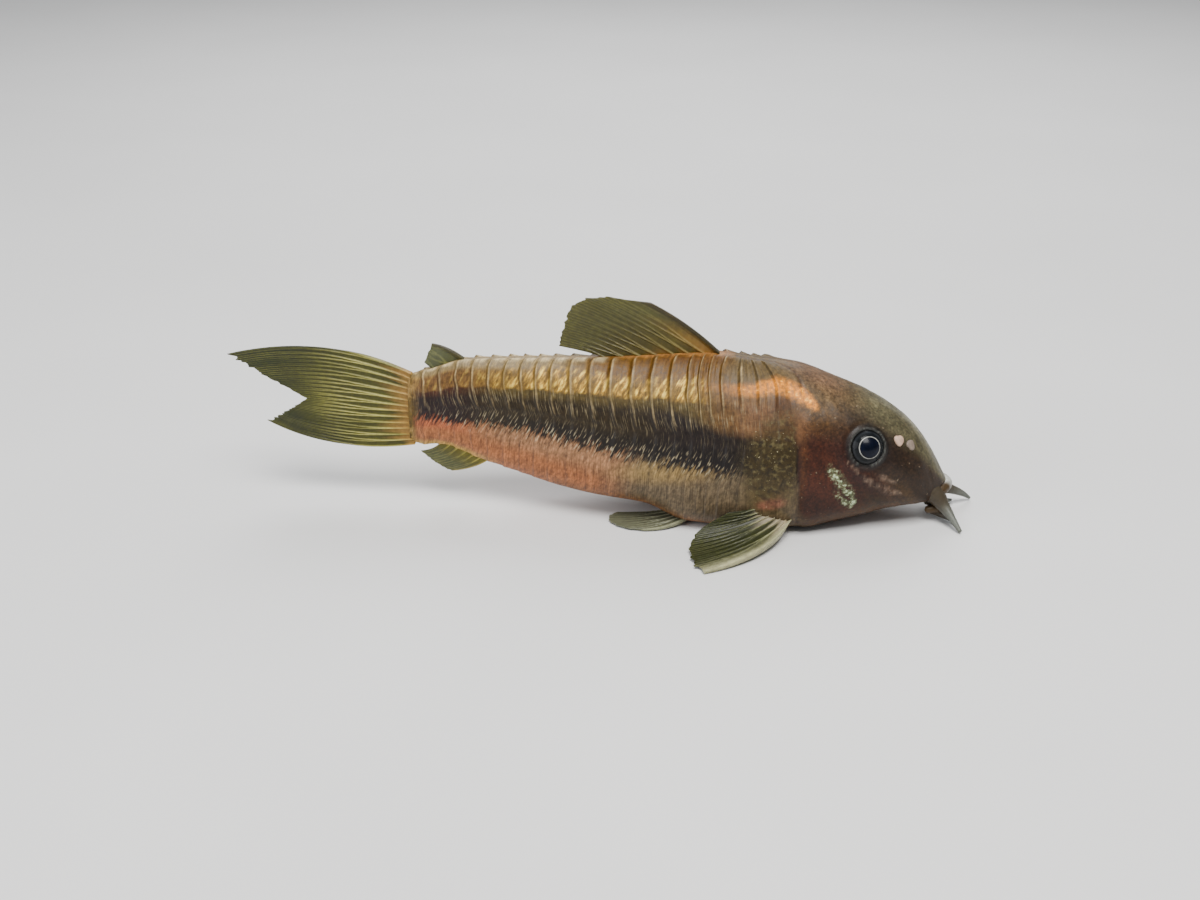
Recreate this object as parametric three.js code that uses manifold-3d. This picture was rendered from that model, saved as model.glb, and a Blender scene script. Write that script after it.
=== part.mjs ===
// A bronze corydoras catfish at life size, resting on its belly, paired fins and barbels.
// Millimetres. +X runs to the snout, +Y to the fish's left, +Z up. The floor is z = 0 and the
// origin is the middle of the fish's footprint.
import * as THREE from "three";
import { mergeVertices } from "three/addons/utils/BufferGeometryUtils.js";
import Module from "manifold-3d";

const wasm = await Module();
wasm.setup();

// Driving dimensions
const SNOUT_X = 33.1; // foremost point of the skull, behind the lips
const TAIL_END_X = -18.6; // hind end of the tail stalk, where the caudal fin begins
const GILL_X = 18.2; // hind edge of the gill cover at mid height
const GAP = 0.3; // between neighbouring pieces
const FLOOR_Z = 0;

// Armour plates: rows run from the gill cover to the caudal fin
const PLATE_COUNT = 23;
// x of every few plate edges: the plates are short under the dorsal fin and long behind it
const plateEdges = profile([
  [0, GILL_X], [3, 13], [4, 11.2], [7, 8.1], [8, 6.5], [13, -3], [14, -4.8], [16, -7.6],
  [PLATE_COUNT, TAIL_END_X],
]);
const PLATE_RISE = 0.26; // how far a plate's hind edge stands over the next plate
const PLATE_STEP = 0.22; // length of the drop behind that edge
const TRUNK_PLATES = 15; // the trunk carries these, the tail the rest
const CHEVRON = 0.7; // how far forward the two rows meet at the lateral line
const SHIELD_PLATES = 2; // the shoulder shield covers these plates of the lower row

// Long profiles as [x, value] pairs, from the tail stalk to the snout
const topLine = profile([
  [-18.7, 13.2], [-16.8, 13.5], [-12.9, 14.7], [-6, 15.05], [1.5, 15.35], [10.6, 15.95],
  [14.4, 15.55], [18.1, 15.05], [21.9, 13.6], [25.7, 11.9], [28.6, 9.95], [30.4, 8.1], [33.1, 4.9],
]);
const bellyLine = profile([
  [-18.7, 5.5], [-15.5, 5.9], [-11.5, 4.5], [-7.7, 3.3], [-3.9, 2.2], [0, 1.6], [4.2, 1.35],
  [8.2, -0.1], [13, -0.25], [19, -0.2], [24.3, 0.7], [28.5, 1.5], [33.1, 1.9],
]);
const halfWidth = profile([
  [-18.7, 0.95], [-15, 1.6], [-10, 2.5], [-5, 3.5], [0, 4.5], [5, 5.5], [10, 6.3],
  [16, 6.7], [19, 6.5], [24.5, 5.4], [28.5, 4.1], [31, 3.1], [33.1, 2.4],
]);
const widestZ = profile([
  [-18.7, 9.5], [-10, 9], [0, 6.6], [10, 5.1], [18, 4.9], [24, 5.3], [28, 4.7], [33.1, 2.9],
]);
const lateralLineZ = profile([[-18.7, 9.7], [-9, 10.4], [2, 9.8], [17, 9], [24, 8.2], [33.1, 3.6]]);
// How boxy the section is above and below its widest line: 1 is an ellipse, less is fuller
const roofPower = profile([[-18.7, 0.95], [-5, 1.05], [8, 1.18], [16, 1.08], [24, 0.92], [33.1, 0.9]]);
const bellyPower = profile([
  [-18.7, 0.95], [-8, 0.85], [4, 0.7], [10, 0.6], [20, 0.62], [28, 0.75], [33.1, 0.85],
]);

// How far the hind edge of the head lies behind or before GILL_X, from back (0) to belly (1)
const gillEdge = profile([[0, -2.6], [0.12, -1.1], [0.25, -0.1], [0.5, 0.2], [0.75, 0.4], [1, 1.2]]);

// The rounding of the snout
const SNOUT_ROUNDING = 3.4;
const SNOUT_Z = 2.9;

// Eyes, nostrils, lips
const EYE_X = 24.85;
const EYE_Z = 8.75;
const EYE_RADIUS = 1.95;
const EYE_SUNK = 1.25; // the ball's centre below the skin
const ORBIT_RIM = 0.3;
const NOSTRILS = [{ x: 27.65, z: 8.95, ring: 0.46 }, { x: 28.8, z: 8.4, ring: 0.42 }];
const NOSTRIL_RIM = 0.17;
const UPPER_LIP = { front: 32.95, z: 3.15, radius: 0.52 };
const LOWER_LIP = { front: 32.6, z: 1.35, radius: 0.48 };

const materials = {
  head: { color: 0x7a5f4e, roughness: 0.4 },
  trunk: { color: 0x8a6a48, roughness: 0.38 },
  tail: { color: 0x6e4f40, roughness: 0.4 },
  eye: { color: 0x14161c, roughness: 0.08 },
  barbel: { color: 0x9a948c, roughness: 0.45 },
  fin: { color: 0x6f7046, roughness: 0.42 },
};

// Returns a smooth function through the given points, with no overshoot between them.
function profile(points) {
  const slopes = points.slice(1).map(([x, v], i) => (v - points[i][1]) / (x - points[i][0]));
  const tangents = points.map((_, i) => {
    if (i === 0) return slopes[0];
    if (i === points.length - 1) return slopes[i - 1];
    const [before, after] = [slopes[i - 1], slopes[i]];
    return before * after <= 0 ? 0 : (2 * before * after) / (before + after);
  });
  return (x) => {
    let i = 0;
    while (i < points.length - 2 && x > points[i + 1][0]) i += 1;
    const [x0, v0] = points[i];
    const [x1, v1] = points[i + 1];
    const h = x1 - x0;
    const t = THREE.MathUtils.clamp((x - x0) / h, 0, 1);
    const a = 2 * t ** 3 - 3 * t ** 2 + 1;
    const b = t ** 3 - 2 * t ** 2 + t;
    const c = -2 * t ** 3 + 3 * t ** 2;
    const d = t ** 3 - t ** 2;
    return a * v0 + b * h * tangents[i] + c * v1 + d * h * tangents[i + 1];
  };
}

const mix = THREE.MathUtils.lerp;
const smooth = (x, low, high) => THREE.MathUtils.smoothstep(x, low, high);

// A point of the smooth body at x. s runs from the back (0) over the lateral line (0.5) to the
// belly (1), and side is +1 on the left and -1 on the right.
function skinPoint(x, s, side) {
  const u = THREE.MathUtils.clamp((x - SNOUT_X + SNOUT_ROUNDING) / SNOUT_ROUNDING, 0, 0.9995);
  const shrink = Math.sqrt(1 - u * u);
  const centre = mix(widestZ(x), SNOUT_Z, smooth(u, 0, 1));
  const up = (topLine(x) - centre) * shrink;
  const down = (centre - bellyLine(x)) * shrink;
  const roof = roofPower(x);
  const share = (lateralLineZ(x) - widestZ(x)) / (topLine(x) - widestZ(x));
  const lateral = THREE.MathUtils.clamp(share, 0.02, 0.9);
  const joinAngle = Math.asin(lateral ** (1 / roof));
  const upper = mix(Math.PI / 2, joinAngle, s / 0.5);
  const lower = mix(joinAngle, -Math.PI / 2, (s - 0.5) / 0.5);
  const angle = s < 0.5 ? upper : lower;
  const power = angle >= 0 ? roof : bellyPower(x);
  const cos = Math.max(0, Math.cos(angle)) ** power;
  const sin = Math.abs(Math.sin(angle)) ** power;
  const z = angle >= 0 ? centre + up * sin : centre - down * sin;
  return new THREE.Vector3(x, side * halfWidth(x) * shrink * cos, z);
}

// The outward normal of the smooth body.
function skinNormal(x, s, side) {
  const step = 0.02;
  const around = THREE.MathUtils.clamp(s, step, 1 - step);
  const along = skinPoint(x + step, around, side).sub(skinPoint(x - step, around, side));
  const down = skinPoint(x, around + step, side).sub(skinPoint(x, around - step, side));
  const normal = along.cross(down).multiplyScalar(side).normalize();
  if (s <= 0 || s >= 1) normal.y = 0;
  return normal.normalize();
}

// A point of the body raised by the given height, and never under the floor.
function raised(x, s, side, height) {
  const point = skinPoint(x, s, side).addScaledVector(skinNormal(x, s, side), height);
  point.z = Math.max(point.z, FLOOR_Z);
  return point;
}

// The s of the body's surface at a given x and z, found by halving.
function skinAt(x, z) {
  let [low, high] = [0, 1];
  for (let i = 0; i < 30; i += 1) {
    const middle = (low + high) / 2;
    if (skinPoint(x, middle, 1).z > z) low = middle;
    else high = middle;
  }
  return (low + high) / 2;
}

// Where the edge of plate number k lies at s. Plate 0 starts at the gill cover.
function plateX(k, s) {
  const straight = plateEdges(k);
  const upper = CHEVRON * ((s - 0.25) / 0.25) ** 2;
  const lower = CHEVRON * (1 - smooth(s, 0.5, 0.64)) - 0.3 * smooth(s, 0.64, 1);
  const chevron = s < 0.5 ? upper : lower;
  const fromHead = 1 - smooth(k, 0, 4);
  const fromTail = 1 - smooth(k, PLATE_COUNT - 2, PLATE_COUNT);
  return straight + mix(chevron * fromTail, gillEdge(s), fromHead);
}

// 0 where there is no plate and 1 in the middle of a row: the rows leave the back's ridge, the
// lateral line and the soft belly free.
function rowHeight(x, s) {
  const back = smooth(s, 0.03, 0.11);
  const join = smooth(Math.abs(s - 0.5), 0, 0.05);
  const bellyEdge = mix(0.98, 0.84, smooth(x, -10, 2));
  const belly = 1 - smooth(s, bellyEdge - 0.1, bellyEdge);
  return back * join * belly;
}

// The s of the points of a section, down one side
const AROUND = [
  0, 0.05, 0.11, 0.18, 0.25, 0.32, 0.39, 0.45, 0.5, 0.55, 0.61, 0.67, 0.73, 0.79, 0.86, 0.93, 1,
];

// The ring of [s, side] pairs that every body section is drawn through.
const RING = [
  ...AROUND.map((s) => [s, -1]),
  ...AROUND.slice(1, -1).reverse().map((s) => [s, 1]),
];

// A closed body through rings of points, all with as many points, with a fan over each end.
function loft(rings) {
  const count = rings[0].length;
  const points = rings.flat();
  const faces = [];
  for (let i = 0; i < rings.length - 1; i += 1)
    for (let j = 0; j < count; j += 1) {
      const next = (j + 1) % count;
      const [a, b] = [i * count + j, i * count + next];
      const [c, d] = [a + count, b + count];
      faces.push(a, b, c, b, d, c);
    }
  const cap = (start, flip) => {
    const ring = points.slice(start, start + count);
    const middle = ring.reduce((sum, p) => sum.add(p), new THREE.Vector3()).divideScalar(count);
    points.push(middle);
    const centre = points.length - 1;
    for (let j = 0; j < count; j += 1) {
      const [a, b] = [start + j, start + ((j + 1) % count)];
      if (flip) faces.push(centre, a, b);
      else faces.push(centre, b, a);
    }
  };
  cap(0, false);
  cap((rings.length - 1) * count, true);
  return outward(points, faces);
}

// A geometry from points and faces, turned so that its faces point out.
function outward(points, faces) {
  const geometry = new THREE.BufferGeometry().setFromPoints(points);
  let volume = 0;
  for (let i = 0; i < faces.length; i += 3) {
    const [a, b, c] = [points[faces[i]], points[faces[i + 1]], points[faces[i + 2]]];
    volume += a.dot(b.clone().cross(c));
  }
  geometry.setIndex(volume < 0 ? faces.reverse() : faces);
  return geometry;
}

function solidOf(geometry) {
  const plain = geometry.index ? geometry.toNonIndexed() : geometry.clone();
  const bare = new THREE.BufferGeometry().setAttribute("position", plain.getAttribute("position"));
  const merged = mergeVertices(bare, 1e-4);
  const vertProperties = merged.attributes.position.array;
  const triVerts = new Uint32Array(merged.index.array);
  return new wasm.Manifold(new wasm.Mesh({ numProp: 3, vertProperties, triVerts }));
}

// The largest closed surface of a solid, as a geometry.
function geometryOf(solid) {
  const largest = solid.decompose().sort((a, b) => b.volume() - a.volume())[0];
  const mesh = largest.getMesh();
  const geometry = new THREE.BufferGeometry();
  geometry.setAttribute("position", new THREE.BufferAttribute(new Float32Array(mesh.vertProperties), 3));
  geometry.setIndex(new THREE.BufferAttribute(new Uint32Array(mesh.triVerts), 1));
  return geometry;
}

// A tube through points, with the given radii spread evenly along it.
function taperedTube(points, radii, sides, samples) {
  const curve = new THREE.CatmullRomCurve3(points);
  const frames = curve.computeFrenetFrames(samples);
  const rings = [];
  for (let i = 0; i <= samples; i += 1) {
    const t = i / samples;
    const centre = curve.getPointAt(t);
    const at = t * (radii.length - 1);
    const low = Math.min(Math.floor(at), radii.length - 2);
    const radius = mix(radii[low], radii[low + 1], at - low);
    const ring = [];
    for (let j = 0; j < sides; j += 1) {
      const turn = (2 * Math.PI * j) / sides;
      const across = frames.normals[i].clone().multiplyScalar(Math.cos(turn) * radius);
      const over = frames.binormals[i].clone().multiplyScalar(Math.sin(turn) * radius);
      ring.push(centre.clone().add(across).add(over));
    }
    rings.push(ring);
  }
  return loft(rings);
}

// Body sections

function bodyRing(xAt, heightAt) {
  return RING.map(([s, side]) => {
    const x = xAt(s);
    return raised(x, s, side, heightAt(x, s));
  });
}

// How high plate k stands at x and s when the rows are at the given share of their rise. The
// shoulder shield is one large plate, as high all over.
function plateHeight(k, x, s, share) {
  const inShield = k < SHIELD_PLATES && s > 0.5;
  return PLATE_RISE * rowHeight(x, s) * (inShield ? 1 : share);
}

// The plated stretch from plate first to plate last: each plate slopes up to its hind edge and
// drops behind it.
function platedBody(first, last, startGap) {
  const rings = [];
  for (let k = first; k < last; k += 1) {
    const front = k === first ? startGap : PLATE_STEP;
    const length = plateEdges(k) - plateEdges(k + 1);
    const middle = k + 0.5 + front / length / 2;
    rings.push(bodyRing((s) => plateX(k, s) - front, (x, s) => plateHeight(k, x, s, 0)));
    rings.push(bodyRing((s) => plateX(middle, s), (x, s) => plateHeight(k, x, s, 0.62)));
    rings.push(bodyRing((s) => plateX(k + 1, s), (x, s) => plateHeight(k, x, s, 1)));
  }
  return rings;
}

// The skull and gill covers, from the gill edge to the snout.
const HEAD_STATIONS = 15;
const GILL_COVER_RISE = 0.22;

function headRings() {
  const rings = [];
  for (let i = 0; i <= HEAD_STATIONS; i += 1) {
    const t = i / HEAD_STATIONS;
    const reach = Math.sin((t * Math.PI) / 2) ** 0.92;
    const xAt = (s) => mix(GILL_X + gillEdge(s) * (1 - smooth(t, 0, 0.5)), SNOUT_X - 0.02, reach);
    rings.push(bodyRing(xAt, gillCoverHeight));
  }
  return rings;
}

// The gill cover stands a little proud of the cheek, with a rounded front edge.
function gillCoverHeight(x, s) {
  const front = GILL_X + 5.2 - 9 * (s - 0.62) ** 2;
  const along = 1 - smooth(x, front - 0.9, front);
  const across = smooth(s, 0.34, 0.42) * (1 - smooth(s, 0.8, 0.9));
  return GILL_COVER_RISE * along * across;
}

const smoothBodyRings = (height) => {
  const rings = [];
  const stations = 44;
  for (let i = 0; i <= stations; i += 1) {
    const x = mix(TAIL_END_X - GAP, SNOUT_X - 0.02, Math.sin((i / stations) * (Math.PI / 2)) ** 0.8);
    rings.push(bodyRing(() => x, () => height));
  }
  return rings;
};

// What every fin and barbel is cut clear of.
const bodyAndGap = solidOf(loft(smoothBodyRings(GAP + 0.12)));

const meetingBody = (geometry) => geometryOf(solidOf(geometry).subtract(bodyAndGap));

// Head details

const eyeSurface = skinAt(EYE_X, EYE_Z);

function eyeCentre(side) {
  const normal = skinNormal(EYE_X, eyeSurface, side);
  return skinPoint(EYE_X, eyeSurface, side).addScaledVector(normal, -EYE_SUNK);
}

function eyeBall(side, radius) {
  const normal = skinNormal(EYE_X, eyeSurface, side);
  const turn = new THREE.Quaternion().setFromUnitVectors(new THREE.Vector3(0, 1, 0), normal);
  return new THREE.SphereGeometry(radius, 18, 12).applyQuaternion(turn).translate(...eyeCentre(side));
}

// A ring lying on the skin.
function skinRing(x, s, side, ring, rim, lift, segments) {
  const normal = skinNormal(x, s, side);
  const turn = new THREE.Quaternion().setFromUnitVectors(new THREE.Vector3(0, 0, 1), normal);
  const place = skinPoint(x, s, side).addScaledVector(normal, lift);
  return new THREE.TorusGeometry(ring, rim, 6, segments).applyQuaternion(turn).translate(...place);
}

// A lip from one corner of the mouth over the front to the other, grown by extra all round.
function lipTube({ front, z, radius }, extra = 0) {
  const corner = (side) => new THREE.Vector3(31, side * 1.9, z - 0.15);
  const bend = (side) => new THREE.Vector3(32.3, side * 1.55, z);
  const nose = new THREE.Vector3(front, 0, z + 0.1);
  const radii = [0.7, 1, 1.05, 1, 0.7].map((share) => share * radius + extra);
  return taperedTube([corner(1), bend(1), nose, bend(-1), corner(-1)], radii, 7, 10);
}

function headGeometry() {
  let head = solidOf(loft(headRings()));
  head = head.add(solidOf(lipTube(UPPER_LIP)));
  head = head.add(solidOf(lipTube(LOWER_LIP)));
  for (const side of [-1, 1]) {
    const rim = skinRing(EYE_X, eyeSurface, side, EYE_RADIUS + 0.02, ORBIT_RIM, -0.08, 18);
    head = head.add(solidOf(rim));
    head = head.subtract(solidOf(eyeBall(side, EYE_RADIUS + GAP - 0.08)));
    for (const { x, z, ring } of NOSTRILS) {
      const s = skinAt(x, z);
      head = head.add(solidOf(skinRing(x, s, side, ring, NOSTRIL_RIM, 0.02, 10)));
    }
  }
  return geometryOf(head);
}

// Fins

// A fin from its rays. A ray is a curve with a half thickness at its root and its tip; between
// two rays runs a thinner strip of membrane that ends a little short of their tips.
function finGeometry({ rays, steps, membrane, notch = 0.04 }) {
  const columns = [];
  rays.forEach((ray, i) => {
    columns.push({ at: (t) => ray.curve.getPoint(t), thick: (t) => mix(ray.root, ray.tip, t) });
    if (i === rays.length - 1) return;
    const next = rays[i + 1];
    const at = (t) => {
      const reach = t * (1 - notch);
      return ray.curve.getPoint(reach).lerp(next.curve.getPoint(reach), 0.5);
    };
    columns.push({ at, thick: (t) => mix(membrane.root, membrane.tip, t) });
  });
  const grid = columns.map((column) => {
    const line = [];
    for (let i = 0; i <= steps; i += 1) line.push({ p: column.at(i / steps), h: column.thick(i / steps) });
    return line;
  });
  const normalAt = (c, i) => {
    const across = grid[Math.min(c + 1, grid.length - 1)][i].p.clone().sub(grid[Math.max(c - 1, 0)][i].p);
    const along = grid[c][Math.min(i + 1, steps)].p.clone().sub(grid[c][Math.max(i - 1, 0)].p);
    return across.cross(along).normalize();
  };
  const points = [];
  for (const face of [1, -1])
    grid.forEach((line, c) =>
      line.forEach(({ p, h }, i) => {
        const point = p.clone().addScaledVector(normalAt(c, i), face * h);
        point.z = Math.max(point.z, FLOOR_Z);
        points.push(point);
      }),
    );
  const perFace = grid.length * (steps + 1);
  const index = (c, i) => c * (steps + 1) + i;
  const faces = [];
  const quad = (a, b, c, d) => faces.push(a, b, c, a, c, d);
  for (let c = 0; c < grid.length - 1; c += 1)
    for (let i = 0; i < steps; i += 1) {
      const [a, b, d, e] = [index(c, i), index(c + 1, i), index(c + 1, i + 1), index(c, i + 1)];
      quad(a, b, d, e);
      faces.push(perFace + a, perFace + d, perFace + b, perFace + a, perFace + e, perFace + d);
    }
  for (let i = 0; i < steps; i += 1) {
    const last = grid.length - 1;
    quad(index(0, i), index(0, i + 1), perFace + index(0, i + 1), perFace + index(0, i));
    quad(index(last, i + 1), index(last, i), perFace + index(last, i), perFace + index(last, i + 1));
  }
  for (let c = 0; c < grid.length - 1; c += 1) {
    quad(index(c + 1, 0), index(c, 0), perFace + index(c, 0), perFace + index(c + 1, 0));
    quad(index(c, steps), index(c + 1, steps), perFace + index(c + 1, steps), perFace + index(c, steps));
  }
  return outward(points, faces);
}

const bezier = (root, bend, tip) => new THREE.QuadraticBezierCurve3(root, bend, tip);
const vec = (x, y, z) => new THREE.Vector3(x, y, z);

// Thickness of the rays and of the membrane between them, as half thicknesses
const SPINE = { root: 0.55, tip: 0.25 };
const RAY = { root: 0.42, tip: 0.26 };
const MEMBRANE = { root: 0.27, tip: 0.25 };
const ROOT_DEPTH = 1.1; // how deep a root starts inside the body before it is cut clear

// Dorsal fin: a spine and seven rays that lean back
const DORSAL_RAYS = 7;
const DORSAL_FRONT_X = 11.4;
const DORSAL_BACK_X = 1.7;
const dorsalTipX = profile([[0, 4.5], [1, 0.4], [2, -1.4], [3, -2.6], [4, -3.3], [7, -4.1]]);
const dorsalTipZ = profile([[0, 20.6], [1, 21.1], [2, 21.0], [3, 20.4], [4, 19.3], [7, 16.2]]);

function dorsalFin() {
  const rays = [];
  for (let i = 0; i <= DORSAL_RAYS; i += 1) {
    const rootX = mix(DORSAL_FRONT_X, DORSAL_BACK_X, i / DORSAL_RAYS);
    const root = vec(rootX + 0.5, 0, topLine(rootX) - ROOT_DEPTH);
    const tip = vec(dorsalTipX(i), 0, dorsalTipZ(i));
    const bend = root.clone().lerp(tip, 0.5).add(vec(0.3, 0, mix(0.75, 0.3, i / DORSAL_RAYS)));
    rays.push({ curve: bezier(root, bend, tip), ...(i === 0 ? SPINE : RAY) });
  }
  return meetingBody(finGeometry({ rays, steps: 6, membrane: MEMBRANE }));
}

// Adipose fin: a short spine with a membrane behind it
function adiposeFin() {
  const rays = [
    { curve: bezier(vec(-11.9, 0, 13.6), vec(-14, 0, 15.8), vec(-16.1, 0, 16.1)), ...SPINE },
    { curve: bezier(vec(-13.6, 0, 13.2), vec(-15.2, 0, 14.6), vec(-16.8, 0, 15.2)), ...MEMBRANE },
    { curve: bezier(vec(-15.3, 0, 12.7), vec(-16, 0, 13.4), vec(-16.9, 0, 14.2)), ...MEMBRANE },
  ];
  return meetingBody(finGeometry({ rays, steps: 4, membrane: MEMBRANE, notch: 0.02 }));
}

// Anal fin: half folded under the tail
const ANAL_RAYS = 6;

function analFin() {
  const rays = [];
  for (let i = 0; i <= ANAL_RAYS; i += 1) {
    const t = i / ANAL_RAYS;
    const rootX = mix(-10.2, -15, t);
    const root = vec(rootX, 0, bellyLine(rootX) + ROOT_DEPTH);
    const tip = vec(mix(-14.6, -17.6, t), 0, mix(3.0, 5.0, t ** 1.4));
    const bend = root.clone().lerp(tip, 0.5).add(vec(0.5, 0, -0.7));
    rays.push({ curve: bezier(root, bend, tip), ...(i === 0 ? SPINE : RAY) });
  }
  return meetingBody(finGeometry({ rays, steps: 5, membrane: MEMBRANE }));
}

// Caudal fin: fourteen rays fan out into an upper lobe that is longer than the lower one
const CAUDAL_RAYS = 14;
const CAUDAL_ROOT_X = TAIL_END_X - GAP;
const CAUDAL_MIDDLE_Z = 9.4;
const CAUDAL_HALF_DEPTH = 3.75;
const FORK = { x: -28.4, z: 10.1 };
const UPPER_TIP = { x: -35.92, z: 14.5 };
const LOWER_TIP = { x: -32.4, z: 7.7 };

function caudalFin() {
  const rays = [];
  for (let i = 0; i < CAUDAL_RAYS; i += 1) {
    const v = 1 - (2 * i) / (CAUDAL_RAYS - 1);
    const lobe = v > 0 ? UPPER_TIP : LOWER_TIP;
    const out = Math.abs(v) ** 0.85;
    const root = vec(CAUDAL_ROOT_X, 0, CAUDAL_MIDDLE_Z + CAUDAL_HALF_DEPTH * v);
    const tip = vec(mix(FORK.x, lobe.x, out), 0, mix(FORK.z, lobe.z, out));
    const bend = vec(-26.6, 0.35, 9.9 + (v > 0 ? 7 : 5.6) * v);
    rays.push({ curve: bezier(root, bend, tip), root: 0.5, tip: 0.25 });
  }
  return finGeometry({ rays, steps: 8, membrane: { root: 0.34, tip: 0.25 }, notch: 0.03 });
}

// Pectoral fin: the spine reaches out and back to the floor, the rays fan in towards the flank
const PECTORAL_RAYS = 7;
const pectoralTipX = profile([[0, 10.2], [1, 9.3], [3, 8.7], [5, 9.3], [7, 12.2]]);
const pectoralTipY = profile([[0, 14.3], [1, 13.1], [3, 10.4], [5, 8.3], [7, 7.5]]);
const pectoralTipZ = profile([[0, 0.28], [3, 0.4], [5, 1.2], [7, 3]]);

function pectoralFin(side) {
  const rays = [];
  for (let i = 0; i <= PECTORAL_RAYS; i += 1) {
    const t = i / PECTORAL_RAYS;
    const root = vec(mix(18.1, 15.7, t), 5.6, mix(1.5, 2.9, t));
    const tip = vec(pectoralTipX(i), pectoralTipY(i), pectoralTipZ(i));
    const bow = vec(mix(2.3, 0.2, t), mix(1.5, 0.6, t), mix(-0.2, 0.1, t));
    const bend = root.clone().lerp(tip, 0.5).add(bow);
    [root, tip, bend].forEach((p) => p.setY(p.y * side));
    rays.push({ curve: bezier(root, bend, tip), ...(i === 0 ? SPINE : RAY) });
  }
  return meetingBody(finGeometry({ rays, steps: 7, membrane: MEMBRANE }));
}

// Pelvic fin: spread flat on the floor under the belly
const PELVIC_RAYS = 5;
const pelvicTipX = profile([[0, 4.4], [1, 3], [2, 1.8], [3, 1], [4, 0.9], [5, 1.6]]);
const pelvicTipY = profile([[0, 6.1], [1, 5.9], [2, 5.3], [3, 4.4], [4, 3.4], [5, 2.5]]);

function pelvicFin(side) {
  const rays = [];
  for (let i = 0; i <= PELVIC_RAYS; i += 1) {
    const t = i / PELVIC_RAYS;
    const root = vec(mix(8.6, 7.4, t), mix(3.9, 2.6, t), 0.75);
    const tip = vec(pelvicTipX(i), pelvicTipY(i), 0.25);
    const bend = root.clone().lerp(tip, 0.5).add(vec(0.5, mix(0.9, 0, t), -0.2));
    [root, tip, bend].forEach((p) => p.setY(p.y * side));
    rays.push({ curve: bezier(root, bend, tip), ...(i === 0 ? SPINE : RAY) });
  }
  return meetingBody(finGeometry({ rays, steps: 5, membrane: MEMBRANE }));
}

// Barbels: an upper and a lower pair at the corners of the mouth
const BARBELS = {
  barbel_upper_right: [[31.5, -1.3, 2.2], [32.5, -2.1, 1.7], [33.3, -3.2, 1.05], [34, -4.45, 0.24]],
  barbel_upper_left: [[32.2, 1, 2.3], [33.6, 1.7, 1.8], [34.9, 2.5, 1], [35.75, 3.1, 0.24]],
  barbel_lower_right: [[31.3, -0.8, 0.9], [32.4, -1.3, 0.6], [33.25, -1.95, 0.4], [33.75, -2.75, 0.24]],
  barbel_lower_left: [[31.3, 0.8, 0.9], [32.4, 1.3, 0.6], [33.25, 1.95, 0.4], [33.9, 2.5, 0.24]],
};
const BARBEL_RADII = {
  barbel_upper_right: [0.95, 0.66, 0.42, 0.22],
  barbel_upper_left: [0.75, 0.55, 0.38, 0.22],
  barbel_lower_right: [0.45, 0.4, 0.32, 0.22],
  barbel_lower_left: [0.45, 0.4, 0.32, 0.22],
};

// The assembled fish

const fish = new THREE.Group();

function add(name, geometry, look) {
  const material = new THREE.MeshStandardMaterial({ metalness: 0, ...materials[look] });
  const mesh = new THREE.Mesh(geometry, material);
  mesh.name = name;
  fish.add(mesh);
}

const head = headGeometry();
add("head", head, "head");
add("trunk", loft(platedBody(0, TRUNK_PLATES, GAP)), "trunk");
add("tail", loft(platedBody(TRUNK_PLATES, PLATE_COUNT, GAP)), "tail");
add("dorsal_fin", dorsalFin(), "fin");
add("adipose_fin", adiposeFin(), "fin");
add("anal_fin", analFin(), "fin");
add("caudal_fin", caudalFin(), "fin");
for (const [name, side] of [["right", -1], ["left", 1]]) {
  add("eye_" + name, eyeBall(side, EYE_RADIUS), "eye");
  add("pectoral_fin_" + name, pectoralFin(side), "fin");
  add("pelvic_fin_" + name, pelvicFin(side), "fin");
}
const lipsAndGap = solidOf(lipTube(UPPER_LIP, GAP)).add(solidOf(lipTube(LOWER_LIP, GAP)));
for (const [name, path] of Object.entries(BARBELS)) {
  const points = path.map((p) => vec(...p));
  const whole = solidOf(taperedTube(points, BARBEL_RADII[name], 8, 6));
  const tube = whole.subtract(bodyAndGap).subtract(lipsAndGap);
  add(name, geometryOf(tube), "barbel");
}

// The footprint's middle is put exactly at the origin.
const middle = new THREE.Box3().setFromObject(fish).getCenter(new THREE.Vector3());
fish.children.forEach((mesh) => mesh.geometry.translate(-middle.x, -middle.y, 0));

export default fish;
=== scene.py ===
import math
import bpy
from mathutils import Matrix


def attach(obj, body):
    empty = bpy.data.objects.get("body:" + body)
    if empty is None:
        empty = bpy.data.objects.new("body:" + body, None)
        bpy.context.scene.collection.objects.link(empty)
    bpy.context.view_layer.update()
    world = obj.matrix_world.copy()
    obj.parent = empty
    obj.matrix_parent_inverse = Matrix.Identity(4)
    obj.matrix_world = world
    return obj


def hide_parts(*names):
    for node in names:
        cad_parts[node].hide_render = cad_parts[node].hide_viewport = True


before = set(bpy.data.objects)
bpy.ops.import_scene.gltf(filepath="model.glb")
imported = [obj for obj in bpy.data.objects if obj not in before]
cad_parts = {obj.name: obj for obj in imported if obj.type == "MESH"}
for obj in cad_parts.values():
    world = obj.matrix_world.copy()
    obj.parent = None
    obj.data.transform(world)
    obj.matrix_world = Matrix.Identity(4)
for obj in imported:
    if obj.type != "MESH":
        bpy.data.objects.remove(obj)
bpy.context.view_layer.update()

from types import SimpleNamespace

import bpy
import numpy as np
from mathutils import Vector

MM = 0.001

# The camera, in millimetres and degrees
CAMERA_TARGET = np.array([-0.2, 0.0, 5.6])
CAMERA_AZIMUTH = 4.0
CAMERA_ELEVATION = 24.0
CAMERA_DISTANCE = 170.0
CAMERA_LENS = 53.04
CAMERA_SENSOR = 36
CAMERA_NEAR = 5.0

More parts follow.
